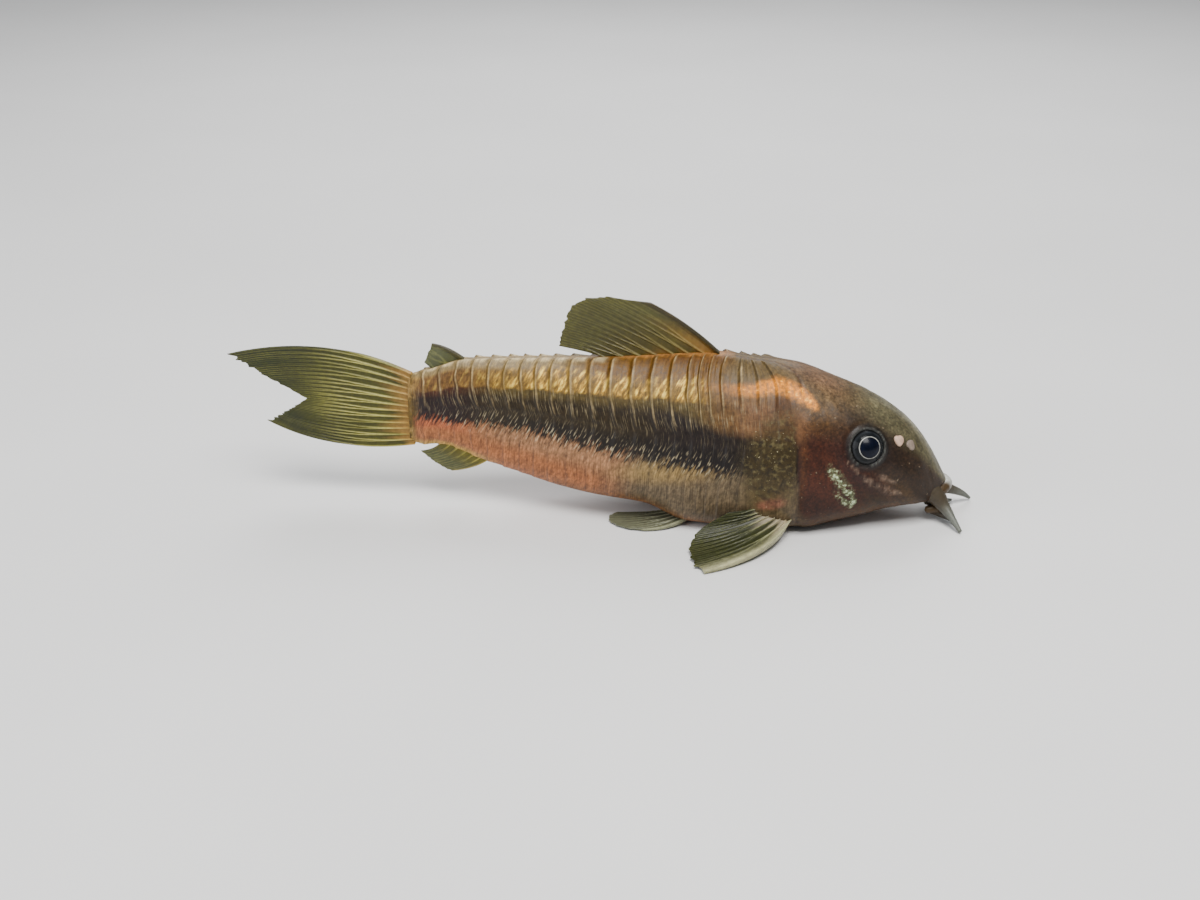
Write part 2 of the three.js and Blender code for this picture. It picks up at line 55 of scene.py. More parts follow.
# The studio, in metres: each light's place, target, size, power and colour
FLOOR_SIZE = 3.0
LIGHTS = {
    "key": ((0.05, -0.12, 0.28), (0, 0, 0.005), 0.16, 1.5, (1.0, 0.98, 0.95)),
    "fill": ((-0.22, -0.16, 0.12), (0, 0, 0.005), 0.2, 0.45, (0.95, 0.97, 1.0)),
    "back": ((0.0, 0.2, 0.2), (0, 0, 0.01), 0.2, 0.6, (1, 1, 1)),
}
SKY_COLOUR = (0.8, 0.83, 0.86, 1)
SKY_STRENGTH = 0.3

# Named sizes shared with the solids, in millimetres
SNOUT_X, TAIL_END_X, GILL_X = 33.1, -18.6, 18.2
SNOUT_ROUNDING, SNOUT_Z = 3.4, 2.9
PLATE_COUNT = 23
CHEVRON = 0.7
PLATE_RISE = 0.25
PLATE_STEP = 0.13  # share of a plate's length in which its hind edge drops

RIGHT, LEFT = -1, 1
SIDES = {"right": RIGHT, "left": LEFT}


def profile(points):
    """A smooth function through [x, value] points that never overshoots them."""
    places, values = np.array(points, float).T
    spans = np.diff(places)
    slopes = np.diff(values) / spans
    before, after = slopes[:-1], slopes[1:]
    tangents = np.concatenate([slopes[:1], np.zeros(len(points) - 2), slopes[-1:]])
    with np.errstate(divide="ignore", invalid="ignore"):
        tangents[1:-1] = np.where(before * after <= 0, 0.0, 2 * before * after / (before + after))

    def value(x):
        x = np.asarray(x, float)
        i = np.clip(np.searchsorted(places, x, side="left") - 1, 0, len(places) - 2)
        t = np.clip((x - places[i]) / spans[i], 0, 1)
        start = (2 * t**3 - 3 * t**2 + 1) * values[i] + (t**3 - 2 * t**2 + t) * spans[i] * tangents[i]
        end = (3 * t**2 - 2 * t**3) * values[i + 1] + (t**3 - t**2) * spans[i] * tangents[i + 1]
        return start + end

    return value


def smooth(x, low, high):
    """Rises from 0 at low to 1 at high."""
    t = np.clip((np.asarray(x, float) - low) / (high - low), 0, 1)
    return t * t * (3 - 2 * t)


def fade(x, low, high):
    """Falls from 1 at low to 0 at high."""
    return 1 - smooth(x, low, high)


def near(x, middle, spread):
    """1 at the middle, falling away to both sides."""
    return np.exp(-(((x - middle) / spread) ** 2))


def mix(a, b, t):
    return a + (b - a) * t


top_line = profile([
    [-18.7, 13.2], [-16.8, 13.5], [-12.9, 14.7], [-6, 15.05], [1.5, 15.35], [10.6, 15.95],
    [14.4, 15.55], [18.1, 15.05], [21.9, 13.6], [25.7, 11.9], [28.6, 9.95], [30.4, 8.1], [33.1, 4.9],
])
belly_line = profile([
    [-18.7, 5.5], [-15.5, 5.9], [-11.5, 4.5], [-7.7, 3.3], [-3.9, 2.2], [0, 1.6], [4.2, 1.35],
    [8.2, -0.1], [13, -0.25], [19, -0.2], [24.3, 0.7], [28.5, 1.5], [33.1, 1.9],
])
half_width = profile([
    [-18.7, 0.95], [-15, 1.6], [-10, 2.5], [-5, 3.5], [0, 4.5], [5, 5.5], [10, 6.3],
    [16, 6.7], [19, 6.5], [24.5, 5.4], [28.5, 4.1], [31, 3.1], [33.1, 2.4],
])
widest_z = profile([
    [-18.7, 9.5], [-10, 9], [0, 6.6], [10, 5.1], [18, 4.9], [24, 5.3], [28, 4.7], [33.1, 2.9],
])
lateral_z = profile([[-18.7, 9.7], [-9, 10.4], [2, 9.8], [17, 9], [24, 8.2], [33.1, 3.6]])
roof_power = profile([[-18.7, 0.95], [-5, 1.05], [8, 1.18], [16, 1.08], [24, 0.92], [33.1, 0.9]])
belly_power = profile([
    [-18.7, 0.95], [-8, 0.85], [4, 0.7], [10, 0.6], [20, 0.62], [28, 0.75], [33.1, 0.85],
])
plate_edges = profile([
    [0, GILL_X], [3, 13], [4, 11.2], [7, 8.1], [8, 6.5], [13, -3], [14, -4.8], [16, -7.6],
    [PLATE_COUNT, TAIL_END_X],
])
gill_edge = profile([[0, -2.6], [0.12, -1.1], [0.25, -0.1], [0.5, 0.2], [0.75, 0.4], [1, 1.2]])


def skin_point(x, s, side):
    """A point of the smooth body. s runs from the back (0) over the lateral line (0.5) to the belly (1)."""
    x, s = np.broadcast_arrays(np.asarray(x, float), np.asarray(s, float))
    u = np.clip((x - SNOUT_X + SNOUT_ROUNDING) / SNOUT_ROUNDING, 0, 0.9995)
    shrink = np.sqrt(1 - u * u)
    centre = mix(widest_z(x), SNOUT_Z, smooth(u, 0, 1))
    up = (top_line(x) - centre) * shrink
    down = (centre - belly_line(x)) * shrink
    roof = roof_power(x)
    lateral = np.clip((lateral_z(x) - widest_z(x)) / (top_line(x) - widest_z(x)), 0.02, 0.9)
    join = np.arcsin(lateral ** (1 / roof))
    upper = mix(np.pi / 2, join, s / 0.5)
    lower = mix(join, -np.pi / 2, (s - 0.5) / 0.5)
    angle = np.where(s < 0.5, upper, lower)
    power = np.where(angle >= 0, roof, belly_power(x))
    cos = np.maximum(0, np.cos(angle)) ** power
    sin = np.abs(np.sin(angle)) ** power
    z = np.where(angle >= 0, centre + up * sin, centre - down * sin)
    return np.stack([x, side * half_width(x) * shrink * cos, z], -1)


def skin_normal(x, s, side, step=0.02):
    x, s = np.broadcast_arrays(np.asarray(x, float), np.asarray(s, float))
    around = np.clip(s, step, 1 - step)
    along = skin_point(x + step, around, side) - skin_point(x - step, around, side)
    down = skin_point(x, around + step, side) - skin_point(x, around - step, side)
    normal = np.cross(along, down) * side
    edge = (s <= 0) | (s >= 1)
    normal[..., 1] = np.where(edge, 0, normal[..., 1])
    return normal / np.linalg.norm(normal, axis=-1, keepdims=True)


def skin_at(x, z):
    """The s of the body's surface at x and z."""
    s = np.linspace(0, 1, 2001)
    return float(s[np.argmin(np.abs(skin_point(x, s, LEFT)[:, 2] - z))])


def plate_x(k, s):
    """Where the edge of plate k lies at s. Plate 0 starts at the gill cover."""
    upper = CHEVRON * ((s - 0.25) / 0.25) ** 2
    lower = CHEVRON * (1 - smooth(s, 0.5, 0.64)) - 0.3 * smooth(s, 0.64, 1)
    chevron = np.where(s < 0.5, upper, lower)
    from_head = fade(k, 0, 4)
    from_tail = fade(k, PLATE_COUNT - 2, PLATE_COUNT)
    return plate_edges(k) + mix(chevron * from_tail, gill_edge(s), from_head)


# Noise


def lattice(ix, iy, seed):
    """A number between 0 and 1 for each ix and iy. The factors only scatter them."""
    n = np.sin(ix * 127.1 + iy * 311.7 + seed * 74.7) * 43758.5453
    return n - np.floor(n)


def noise(x, y, seed=0):
    """Smooth noise between 0 and 1."""
    x, y = np.broadcast_arrays(np.asarray(x, float), np.asarray(y, float))
    ix, iy = np.floor(x), np.floor(y)
    fx, fy = x - ix, y - iy
    fx, fy = fx * fx * (3 - 2 * fx), fy * fy * (3 - 2 * fy)
    low = mix(lattice(ix, iy, seed), lattice(ix + 1, iy, seed), fx)
    high = mix(lattice(ix, iy + 1, seed), lattice(ix + 1, iy + 1, seed), fx)
    return mix(low, high, fy)


def layered(x, y, seed, octaves=3):
    total, weight = 0.0, 0.0
    for i in range(octaves):
        total = total + noise(x * 2**i, y * 2**i, seed + i) / 2**i
        weight += 1 / 2**i
    return total / weight


# Colour


def srgb(r, g, b):
    c = np.array([r, g, b], float) / 255
    return np.where(c <= 0.04045, c / 12.92, ((c + 0.055) / 1.055) ** 2.4)


# The studio light adds a little of its own to every surface, and the colours below are named as
# they are seen, so this much is taken off them.
STUDIO_HAZE = np.array([0.022, 0.024, 0.03])
STUDIO_GAIN = 1.12
DARKEST = 0.004


def seen(r, g, b):
    return np.maximum((srgb(r, g, b) - STUDIO_HAZE) / STUDIO_GAIN, DARKEST)


def over(colour, top, mask):
    return colour + (top - colour) * np.asarray(mask)[..., None]


def painted(colour, *layers):
    """Lays colours over the first in turn. Each layer is red, green, blue and its mask."""
    for r, g, b, mask in layers:
        colour = over(colour, seen(r, g, b), mask)
    return colour


def blob(dx, dy, rx, ry, soft):
    """1 inside an ellipse and 0 outside."""
    return fade(np.sqrt((dx / rx) ** 2 + (dy / ry) ** 2), 1 - soft, 1 + soft)


def stroke(x, y, path, width, soft):
    """1 on a path of points and 0 beside it. width is the half width, at each point or at all."""
    best = np.zeros(np.broadcast(x, y).shape)
    width = np.broadcast_to(width, len(path))
    for (x0, y0), (x1, y1), w0, w1 in zip(path, path[1:], width, width[1:]):
        dx, dy = x1 - x0, y1 - y0
        t = np.clip(((x - x0) * dx + (y - y0) * dy) / (dx * dx + dy * dy), 0, 1)
        away = np.hypot(x - x0 - t * dx, y - y0 - t * dy) / mix(w0, w1, t)
        best = np.maximum(best, fade(away, 1 - soft, 1 + soft))
    return best


# Meshes


def new_mesh(name, points, faces, uvs, values):
    """points in millimetres, a pair of uvs for each corner, and colours and shares by point."""
    mesh = bpy.data.meshes.new(name)
    mesh.from_pydata((np.asarray(points) * MM).tolist(), [], faces)
    layer = mesh.uv_layers.new(name="OFBake")
    corners = [corner for face in uvs for corner in face]
    layer.data.foreach_set("uv", np.asarray(corners, dtype=np.float32).ravel())
    for key, value in values.items():
        value = np.asarray(value, dtype=np.float32)
        if value.ndim == 1:
            attribute = mesh.attributes.new(key, "FLOAT", "POINT")
            attribute.data.foreach_set("value", value)
        else:
            attribute = mesh.color_attributes.new(key, "FLOAT_COLOR", "POINT")
            rgba = np.ones((len(points), 4), dtype=np.float32)
            rgba[:, :3] = np.clip(value, 0, 1)
            attribute.data.foreach_set("color", rgba.ravel())
    mesh.polygons.foreach_set("use_smooth", [True] * len(mesh.polygons))
    mesh.update()
    piece = bpy.data.objects.new(name, mesh)
    bpy.context.scene.collection.objects.link(piece)
    return piece


def fan(middle, ring, flip):
    """Triangles from a middle point over a closed ring of points."""
    following = np.roll(ring, -1)
    pair = (following, ring) if flip else (ring, following)
    return [[middle, int(a), int(b)] for a, b in zip(*pair)]


def with_caps(faces, uvs, caps):
    return faces.tolist() + caps, uvs.tolist() + [[[0.0, 0.0]] * 3] * len(caps)


def end_caps(rows, columns, flip):
    """Caps over the first and last row of a closed grid, whose middles follow its points."""
    count, ring = rows * columns, np.arange(columns)
    return fan(count, ring, flip) + fan(count + 1, ring + count - columns, not flip)


def place(piece, material, slot, *nodes):
    piece.data.materials.append(material)
    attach(piece, "root")
    if nodes:
        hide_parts(*nodes)
    return piece


def grid_faces(rows, columns, closed, flip=False, offset=0):
    """Quads and their uvs over a grid of rows x columns points."""
    wrap = columns if closed else columns - 1
    i, j = np.meshgrid(np.arange(rows - 1), np.arange(wrap), indexing="ij")
    i, j = i.ravel(), j.ravel()
    nxt = (j + 1) % columns
    corners = [i * columns + j, i * columns + nxt, (i + 1) * columns + nxt, (i + 1) * columns + j]
    quads = np.stack(corners, 1)
    u0, u1 = i / (rows - 1), (i + 1) / (rows - 1)
    v0, v1 = j / wrap, (j + 1) / wrap
    pairs = [np.stack([u, v], 1) for u, v in ((u0, v0), (u0, v1), (u1, v1), (u1, v0))]
    uvs = np.stack(pairs, 1)
    if flip:
        quads, uvs = quads[:, ::-1], uvs[:, ::-1]
    return quads + offset, uvs


# The skin

COLUMNS_PER_PLATE = 20
HEAD_COLUMNS = 150
AROUND = 81  # points from back to belly on one side

# The eye: its middle on the skin, its size, and how far the ball's middle lies under the skin
EYE_X, EYE_Z = 24.85, 8.75
EYE_RADIUS = 1.95
EYE_SUNK = 1.25
EYE_S = skin_at(EYE_X, EYE_Z)
# Rings round the eye, by their distance from its middle
WINDOW_RADIUS, PALE_RADIUS, RIM_RADIUS, DARK_RADIUS, GROOVE_RADIUS = 1.6, 1.74, 1.78, 1.98, 2.2

# Heights of the skin's detail
GROWTH_RISE = 0.035
SHIELD_RISE, SHIELD_GRAIN = 0.16, 0.1
GILL_SLIT, GILL_COVER = 0.13, 0.12
CHEEK_RISE, SKULL_GROOVE, HEAD_GRAIN = 0.07, 0.06, 0.08
SOCKET_DEPTH, RIM_RISE, GROOVE_DEPTH = 0.5, 0.11, 0.07
TAIL_TUCK = 0.42  # how far the skin draws in where it ends inside the caudal fin

# Marks on the skin: points as x and millimetres down from the back, with half widths
SKULL_EDGE = [(18.9, 4.6), (18.5, 3.2), (18.0, 2.0), (16.2, 0.7), (12.6, 0.35)]
CHEEK_RIDGE = [(22.1, 8.1), (23.0, 9.0), (24.2, 9.4), (25.2, 9.6), (26.6, 9.5), (28.2, 8.6)]
# the crease under the cheek ridge, where a dark line is painted as shade
CHEEK_CREASE = [(23.2, 9.7), (24.6, 10.4), (26.0, 10.6)]
CHEEK_STREAKS = [
    (CHEEK_RIDGE[1:], [0.08, 0.2, 0.34, 0.3, 0.12]),
    ([(25.6, 8.8), (26.5, 8.3), (27.7, 8.0)], [0.1, 0.22, 0.1]),
]
GOLD_BAR = [(9.5, 4.15), (12.0, 4.3), (14.4, 4.15), (16.2, 3.95), (17.5, 4.35), (18.8, 4.95), (19.7, 5.45)]
GOLD_WIDTH = [0.3, 0.42, 0.55, 0.66, 0.74, 0.68, 0.42]
PEARL_PATHS = [
    ([(21.6, 10.75), (22.4, 11.15), (23.3, 11.9)], [0.4, 0.55, 0.45]),
    ([(22.0, 12.7), (22.7, 13.1), (23.4, 13.1), (23.9, 12.4)], [0.14, 0.26, 0.34, 0.2]),
]
# x, millimetres down, half width across, half length along x, rise
CHEEK_FORMS = [
    (21.0, 12.6, 1.6, 1.6, 0.14), (25.2, 9.4, 0.5, 2.0, 0.1), (28.6, 6.4, 1.0, 1.8, 0.12),
    (26.0, 12.2, 1.1, 1.6, -0.12), (23.2, 5.2, 0.9, 1.2, 0.08), (29.5, 3.9, 0.7, 1.0, 0.1),
]
BORDER_S = 0.574  # where the dark band ends and the salmon row begins
BAND_TOP_S = 0.337


def eye_frame(side):
    """The point on the smooth skin over the eye, and the way out of it."""
    return skin_point(EYE_X, EYE_S, side), skin_normal(EYE_X, EYE_S, side)


def station_s():
    """Denser around the flank and the eye than along the back and belly."""
    t = np.linspace(0, 1, AROUND)
    return t + 0.055 * np.sin(2 * np.pi * t) * np.cos(np.pi * t * 0.5)


def skin_columns(s):
    """x of each column at each s, and the column's place among the plates."""
    plates = np.linspace(PLATE_COUNT, 0, PLATE_COUNT * COLUMNS_PER_PLATE + 1)
    body_x = plate_x(plates[:, None], s[None, :])
    t = np.linspace(0, 1, HEAD_COLUMNS + 1)[1:]
    reach = np.sin(t * np.pi / 2) ** 0.95
    start = GILL_X + gill_edge(s)[None, :] * fade(t, 0, 0.5)[:, None]
    head_x = mix(start, SNOUT_X - 0.004, reach[:, None])
    x = np.vstack([body_x, head_x])
    plate = np.concatenate([plates, -t])
    return x, np.broadcast_to(plate[:, None], x.shape)


def lay_out(side):
    """The points of one half of the smooth skin and the fields that shape and colour share."""
    s = station_s()
    x, plate = skin_columns(s)
    s = np.broadcast_to(s[None, :], x.shape)
    f = SimpleNamespace(x=x, s=s)
    f.base = skin_point(x, s, side)
    f.normal = skin_normal(x, s, side)
    steps = np.linalg.norm(np.diff(f.base, axis=1), axis=-1)
    f.arc = np.concatenate([np.zeros((len(x), 1)), np.cumsum(steps, axis=1)], axis=1)
    f.along = plate + 0.13 * (noise(s * 12, np.round(plate) * 0.7, 3) - 0.5)
    f.number = np.floor(f.along)
    f.phase = f.along - f.number
    f.behind_gill = x - (GILL_X + gill_edge(s))
    f.speck = layered(x * 3, f.arc * 3, 31)
    f.blotch = layered(x * 0.6, f.arc * 0.7, 41)

    belly_edge = mix(0.97, 0.83, smooth(x, -10, 2))
    on_body = smooth(plate, 0.0, 0.35) * fade(plate, PLATE_COUNT - 0.35, PLATE_COUNT)
    rows = smooth(s, 0.03, 0.09) * smooth(np.abs(s - 0.5), 0.002, 0.03) * on_body
    f.rows = rows * fade(s, belly_edge - 0.08, belly_edge)
    under_shield = plate + 0.5 * ((s - 0.57) / 0.1) ** 2 + 0.3 * (noise(s * 24, 0.0, 4) - 0.5)
    shield = smooth(s, 0.42, 0.54) * fade(s, 0.6, 0.74) * fade(under_shield, 1.2, 3.0)
    f.shield = shield * smooth(plate, -0.02, 0.12)
    bone = blob(x - 16.4 + 0.08 * (f.arc - 11), f.arc - 11.3, 2.9, 4.4, 0.45)
    f.bone = bone * fade(f.behind_gill, -0.25, 0.1)

    surface, out = eye_frame(side)
    away = f.base - surface
    depth = away @ out
    ring = np.linalg.norm(away - depth[..., None] * out, axis=-1)
    f.eye_radius = np.where(np.abs(depth) < 2.5, ring, 99.0)
    return f


def relief(f):
    """Height of the skin's detail over the smooth body."""
    drop = np.clip(1 - f.phase / PLATE_STEP, 0, 1)
    ramp = np.clip((f.phase - PLATE_STEP) / (1 - PLATE_STEP), 0, 1) ** 1.35
    share = mix(1, 0.62, smooth(f.s, 0.33, 0.4)) * mix(1, 0.6, smooth(f.s, 0.55, 0.62))
    height = PLATE_RISE * share * np.maximum(drop, ramp) * f.rows * (1 - f.shield)
    height *= 0.8 + 0.35 * lattice(f.number, 1.0, 5)
    growth = noise(f.along * 7, f.s * 7, 15) - 0.5
    height += GROWTH_RISE * growth * f.rows * mix(1, 0.4, smooth(f.s, 0.56, 0.62))
    height += f.shield * (SHIELD_RISE + SHIELD_GRAIN * (layered(f.x * 2.2, f.arc * 2.2, 9) - 0.5))

    slit = smooth(f.s, 0.48, 0.56) * fade(f.s, 0.72, 0.8)
    height -= GILL_SLIT * slit * near(f.behind_gill, 0.1, 0.13)
    cover = smooth(f.s, 0.3, 0.42) * fade(f.s, 0.8, 0.9)
    height += GILL_COVER * cover * smooth(f.behind_gill, 0.0, 0.7) * fade(f.behind_gill, 0.9, 2.8)
    height += CHEEK_RISE * stroke(f.x, f.arc, CHEEK_RIDGE, 0.45, 0.95)
    height -= SKULL_GROOVE * stroke(f.x, f.arc, SKULL_EDGE, 0.12, 0.9)
    for x, down, wide, long, rise in CHEEK_FORMS:
        height += rise * np.exp(-(((f.x - x) / long) ** 2) - ((f.arc - down) / wide) ** 2)
    height += HEAD_GRAIN * (layered(f.x * 1.1, f.arc * 1.1, 21) - 0.5) * smooth(f.x, 18, 20)
    height -= TAIL_TUCK * fade(f.x, -18.5, -17.0)

    socket = SOCKET_DEPTH * fade(f.eye_radius, 1.3, WINDOW_RADIUS)
    rim = RIM_RISE * near(f.eye_radius, RIM_RADIUS, 0.2)
    groove = GROOVE_DEPTH * near(f.eye_radius, GROOVE_RADIUS, 0.2)
    return height * smooth(f.eye_radius, 1.7, 2.4) - socket + rim - groove


def upper_colours(f):
    """The back, the gold row with its glow, and the dark band, with painted highlights and shade at the plate
    edges.
    """
    x, s = f.x, f.s
    knuckles = smooth(f.phase, 0.2, 0.5) * fade(f.phase, 0.8, 1.0)
    knuckles = knuckles * smooth(s, 0.02, 0.05) * fade(s, 0.08, 0.13) * fade(x, 0, 2)
    by_fin = smooth(x, 0, 3) * fade(x, 11, 13)
    rusty = fade(s + 0.06 * (f.speck - 0.5), 0.09, 0.17) * smooth(x, 3, 7) * by_fin
    fin_base = fade(s + 0.05 * (f.speck - 0.5), 0.04, 0.09)
    colour = painted(
        seen(104, 78, 48),
        (136, 118, 86, fade(x, -6, 1)),
        (98, 84, 64, smooth(x, 10, 13)),
        (206, 188, 148, knuckles * 0.7),
        (100, 72, 52, rusty * 0.8),
        (150, 108, 70, fin_base * by_fin),
    )

    gold = painted(seen(114, 92, 60), (106, 82, 62, smooth(x, 8, 12)), (106, 82, 62, fade(x, -15, -8)))
    gold_top = mix(0.17, 0.235, smooth(x, -4, 3)) + 0.03 * (f.blotch - 0.5)
    colour = over(colour, gold, smooth(s, gold_top - 0.02, gold_top + 0.04))
    dusk = painted(seen(86, 76, 58), (100, 78, 60, smooth(x, 8, 12)), (72, 54, 44, fade(x, -14, -9)))
    top = BAND_TOP_S + 0.02 * (noise(f.along * 2, 0.0, 55) - 0.5)
    colour = over(colour, dusk, smooth(s, top, top + 0.02))
    dark = painted(seen(58, 54, 42), (50, 48, 41, smooth(x, 2, 8)), (52, 40, 33, fade(x, -15, -9)))
    start = mix(0.36, 0.43, smooth(x, 6, 12))
    colour = over(colour, dark, smooth(s, start, start + 0.06))
    colour = painted(colour, (47, 46, 36, smooth(s, 0.5, 0.53) * smooth(x, -12, -4) * 0.7))

    f.glow = smooth(s, gold_top - 0.03, gold_top + 0.03) * fade(s, top - 0.004, top + 0.012)
    f.glow = f.glow * fade(x, 7.5, 11) * mix(0.15, 1, smooth(x, -13, -5)) * f.rows
    block = smooth(f.phase, 0.08, 0.26) * fade(f.phase, 0.6, 0.84)
    f.glow = f.glow * mix(0.12, 1, block)
    # painted highlight: a pale rim along each plate's raised hind edge
    edge = smooth(f.phase, 0.86, 0.93) * fade(f.phase, 0.96, 1.0) * f.rows
    edge = edge * (0.1 + 1.1 * noise(f.number * 5.3, s * 20, 59))
    pale = edge * fade(s, 0.4, 0.5) * fade(x, 12, 16)
    colour = painted(colour, (178, 158, 120, pale * mix(0.7, 0.5, smooth(s, 0.33, 0.36))))
    # painted shade in the step behind each plate's hind edge
    step_shade = fade(f.phase, 0.02, 0.13) * f.rows * (1 - f.shield)
    step_shade = step_shade * (0.45 + 0.9 * noise(f.number * 3.1, s * 14, 58))
    return over(colour, colour * 0.5, step_shade * mix(0.85, 0.3, smooth(s, 0.33, 0.42)))


def lower_colours(f):
    """The salmon row and the belly, with painted highlights and shade at the plate edges."""
    x, s = f.x, f.s
    tan = blob(x - 6.6, f.arc - 12.0, 4.6, 1.15, 0.6) * (0.55 + 0.6 * f.speck)
    colour = painted(
        seen(158, 103, 74),
        (103, 91, 77, smooth(x, -2, 4)),
        (150, 112, 86, fade(s, 0.6, 0.7) * fade(x, 0, 5) * smooth(x, -15, -8)),
        (170, 100, 74, fade(s, 0.6, 0.68) * fade(x, -15, -11)),
        (180, 146, 80, smooth(s, 0.76, 0.86) * fade(x, -13, -9) * 0.8),
        (138, 98, 74, smooth(s, 0.72, 0.86) * smooth(x, -8, -2) * fade(x, 8, 14)),
        (144, 120, 82, np.clip(tan, 0, 1) * 0.85),
        (176, 108, 100, blob(x - 16.1, f.arc - 15.2, 1.2, 0.55, 0.5) * 0.8),
    )
    # painted highlight on the rise to each plate's hind edge, and painted shade in the step behind it
    edge = smooth(f.phase, 0.6, 0.9) * fade(f.phase, 0.95, 1.0) * f.rows
    colour = over(colour, colour * 1.25, edge * 0.6)
    step_shade = fade(f.phase, 0.03, 0.2) * f.rows
    return over(colour, colour * 0.6, step_shade * 0.5)


def shoulder_colours(f, colour):
    x, s = f.x, f.s
    upper = smooth(x, 12, 14.5) * smooth(s, 0.31, 0.36) * fade(s, 0.44, 0.5)
    colour = painted(
        colour,
        (120, 90, 72, upper * 0.7),
        (76, 56, 46, blob(x - 17.0, f.arc - 6.0, 1.3, 0.8, 0.6) * 0.7),
    )
    olive = painted(seen(66, 60, 47), (88, 77, 55, smooth(s, 0.58, 0.66)))
    return over(colour, olive, f.bone * 0.85)


def head_colours(f):
    x, s, arc = f.x, f.s, f.arc
    colour = painted(
        seen(98, 82, 66),
        (94, 90, 75, smooth(x, 22, 26)),
        (86, 67, 54, smooth(s, 0.22, 0.4) * fade(x, 23, 29)),
        (66, 51, 42, smooth(s, 0.34, 0.48) * fade(x, 24, 29)),
        (58, 52, 44, smooth(s, 0.24, 0.4) * smooth(x, 23, 27)),
        (78, 61, 50, smooth(s, 0.66, 0.78)),
        (108, 76, 54, smooth(s, 0.84, 0.98)),
        (88, 72, 60, blob(x - 28.4, arc - 9.3, 3.4, 1.6, 0.7) * 0.6),
        (50, 45, 38, blob(x - 24.4, arc - 6.0, 3.0, 2.7, 0.6) * 0.65),
        (58, 44, 36, blob(x - 25.6, arc - 9.4, 2.6, 1.2, 0.7) * 0.6),
        # a painted highlight along the top of the head in front
        (150, 148, 132, fade(s, 0.02, 0.1) * smooth(x, 24, 29) * 0.35),
        (114, 88, 76, blob(x - 20.2, arc - 1.0, 2.2, 2.0, 0.7) * 0.5),
        (74, 53, 50, blob(x - 20.5, arc - 11.6, 1.7, 2.3, 0.7) * 0.85),
        (88, 64, 54, blob(x - 18.8, arc - 10.6, 0.5, 4.2, 0.7) * 0.5),
    )
    tone = layered(x * 0.9, arc * 0.9, 91)
    colour = over(colour, colour * 1.3, smooth(tone, 0.52, 0.72) * 0.7)
    colour = over(colour, colour * 0.75, smooth(1 - tone, 0.52, 0.72) * 0.7)
    colour = colour * (0.86 + 0.28 * f.blotch)[..., None] * (0.86 + 0.28 * f.speck)[..., None]
    streak = sum(stroke(x, arc, path, width, 0.95) for path, width in CHEEK_STREAKS)
    return painted(
        colour,
        (138, 118, 104, np.clip(streak * smooth(f.speck, 0.3, 0.62), 0, 1) * 0.55),
        # painted shade: a dark line in the crease under the cheek ridge
        (56, 42, 36, stroke(x, arc, CHEEK_CREASE, [0.12, 0.3, 0.12], 0.95) * 0.5),
    )


def detail_colours(f, colour):
    """Marks that lie over the rest: the gold bar, pearl patch, bone edges and eye rim."""
    x, s, arc = f.x, f.s, f.arc
    slit = smooth(s, 0.5, 0.56) * fade(s, 0.7, 0.78) * near(f.behind_gill, 0.1, 0.14)
    f.bar = np.clip(stroke(x, arc, GOLD_BAR, GOLD_WIDTH, 0.7) * mix(0.1, 1, smooth(x, 11, 16)), 0, 1)
    f.pearl = sum(stroke(x, arc, path, width, 0.5) for path, width in PEARL_PATHS)
    colour = painted(
        colour,
        (62, 48, 36, stroke(x, arc, SKULL_EDGE, 0.13, 0.8) * 0.6),
        (58, 34, 30, slit * 0.8),
        (176, 118, 66, f.bar * 0.8),
        (40, 38, 36, near(f.eye_radius, DARK_RADIUS, 0.2) * 0.7),
        (44, 44, 44, fade(f.eye_radius, 1.7, 1.95)),
        (104, 106, 104, near(f.eye_radius, PALE_RADIUS, 0.07) * 0.5),
    )
    scales = smooth(layered(x * 1.6, arc * 1.6, 63), 0.42, 0.58)
    tail_root = painted(seen(108, 88, 54), (166, 134, 82, scales))
    return over(colour, tail_root, fade(x, -18.6, -17.2) * 0.8)


def half_skin(side):
    """The points of one half, and the colours and shares that the skin's material reads."""
    f = lay_out(side)
    points = f.base + f.normal * relief(f)[..., None]
    points[..., 2] = np.maximum(points[..., 2], 0.0)
    sharp = smooth(f.s, 0.44, 0.52) * fade(f.s, 0.64, 0.74)
    reach = mix(1.7, 0.25, sharp)
    head_share = smooth(f.behind_gill, 0.1 - reach, 0.1 + reach)
    upper = over(shoulder_colours(f, upper_colours(f)), head_colours(f), head_share)
    upper = detail_colours(f, upper)
    lower = over(shoulder_colours(f, lower_colours(f)), upper, head_share)
    lower = over(lower, upper, fade(f.x, -18.4, -17.4))

    x, s = f.x, f.s
    depth = (s - BORDER_S) * f.arc[:, -1:]
    body = 1 - np.maximum(head_share, f.bone)
    hairy = body * smooth(x, -17.5, -13) * fade(x, 11, 14)
    in_band = smooth(s, 0.3, 0.36) * fade(s, 0.5, 0.55) * body
    values = {
        "tint": upper, "lower": lower,
        "along": f.along, "arc": f.arc, "lean": x + 0.5 * f.arc, "depth": depth,
        "hairy": hairy * near(depth, -0.25, 0.6),
        "lines": in_band * mix(1, 0.5, smooth(s, 0.42, 0.5)) * fade(x, 15, 18),
        "row_lines": body * mix(0.7, 1, smooth(s, 0.55, 0.6)) * (1 - in_band) * (1 - f.bar),
        "glow": f.glow, "bar": f.bar, "pearl": np.clip(f.pearl, 0, 1), "fleck": f.bone,
        "on_head": head_share,
    }
    return points, values


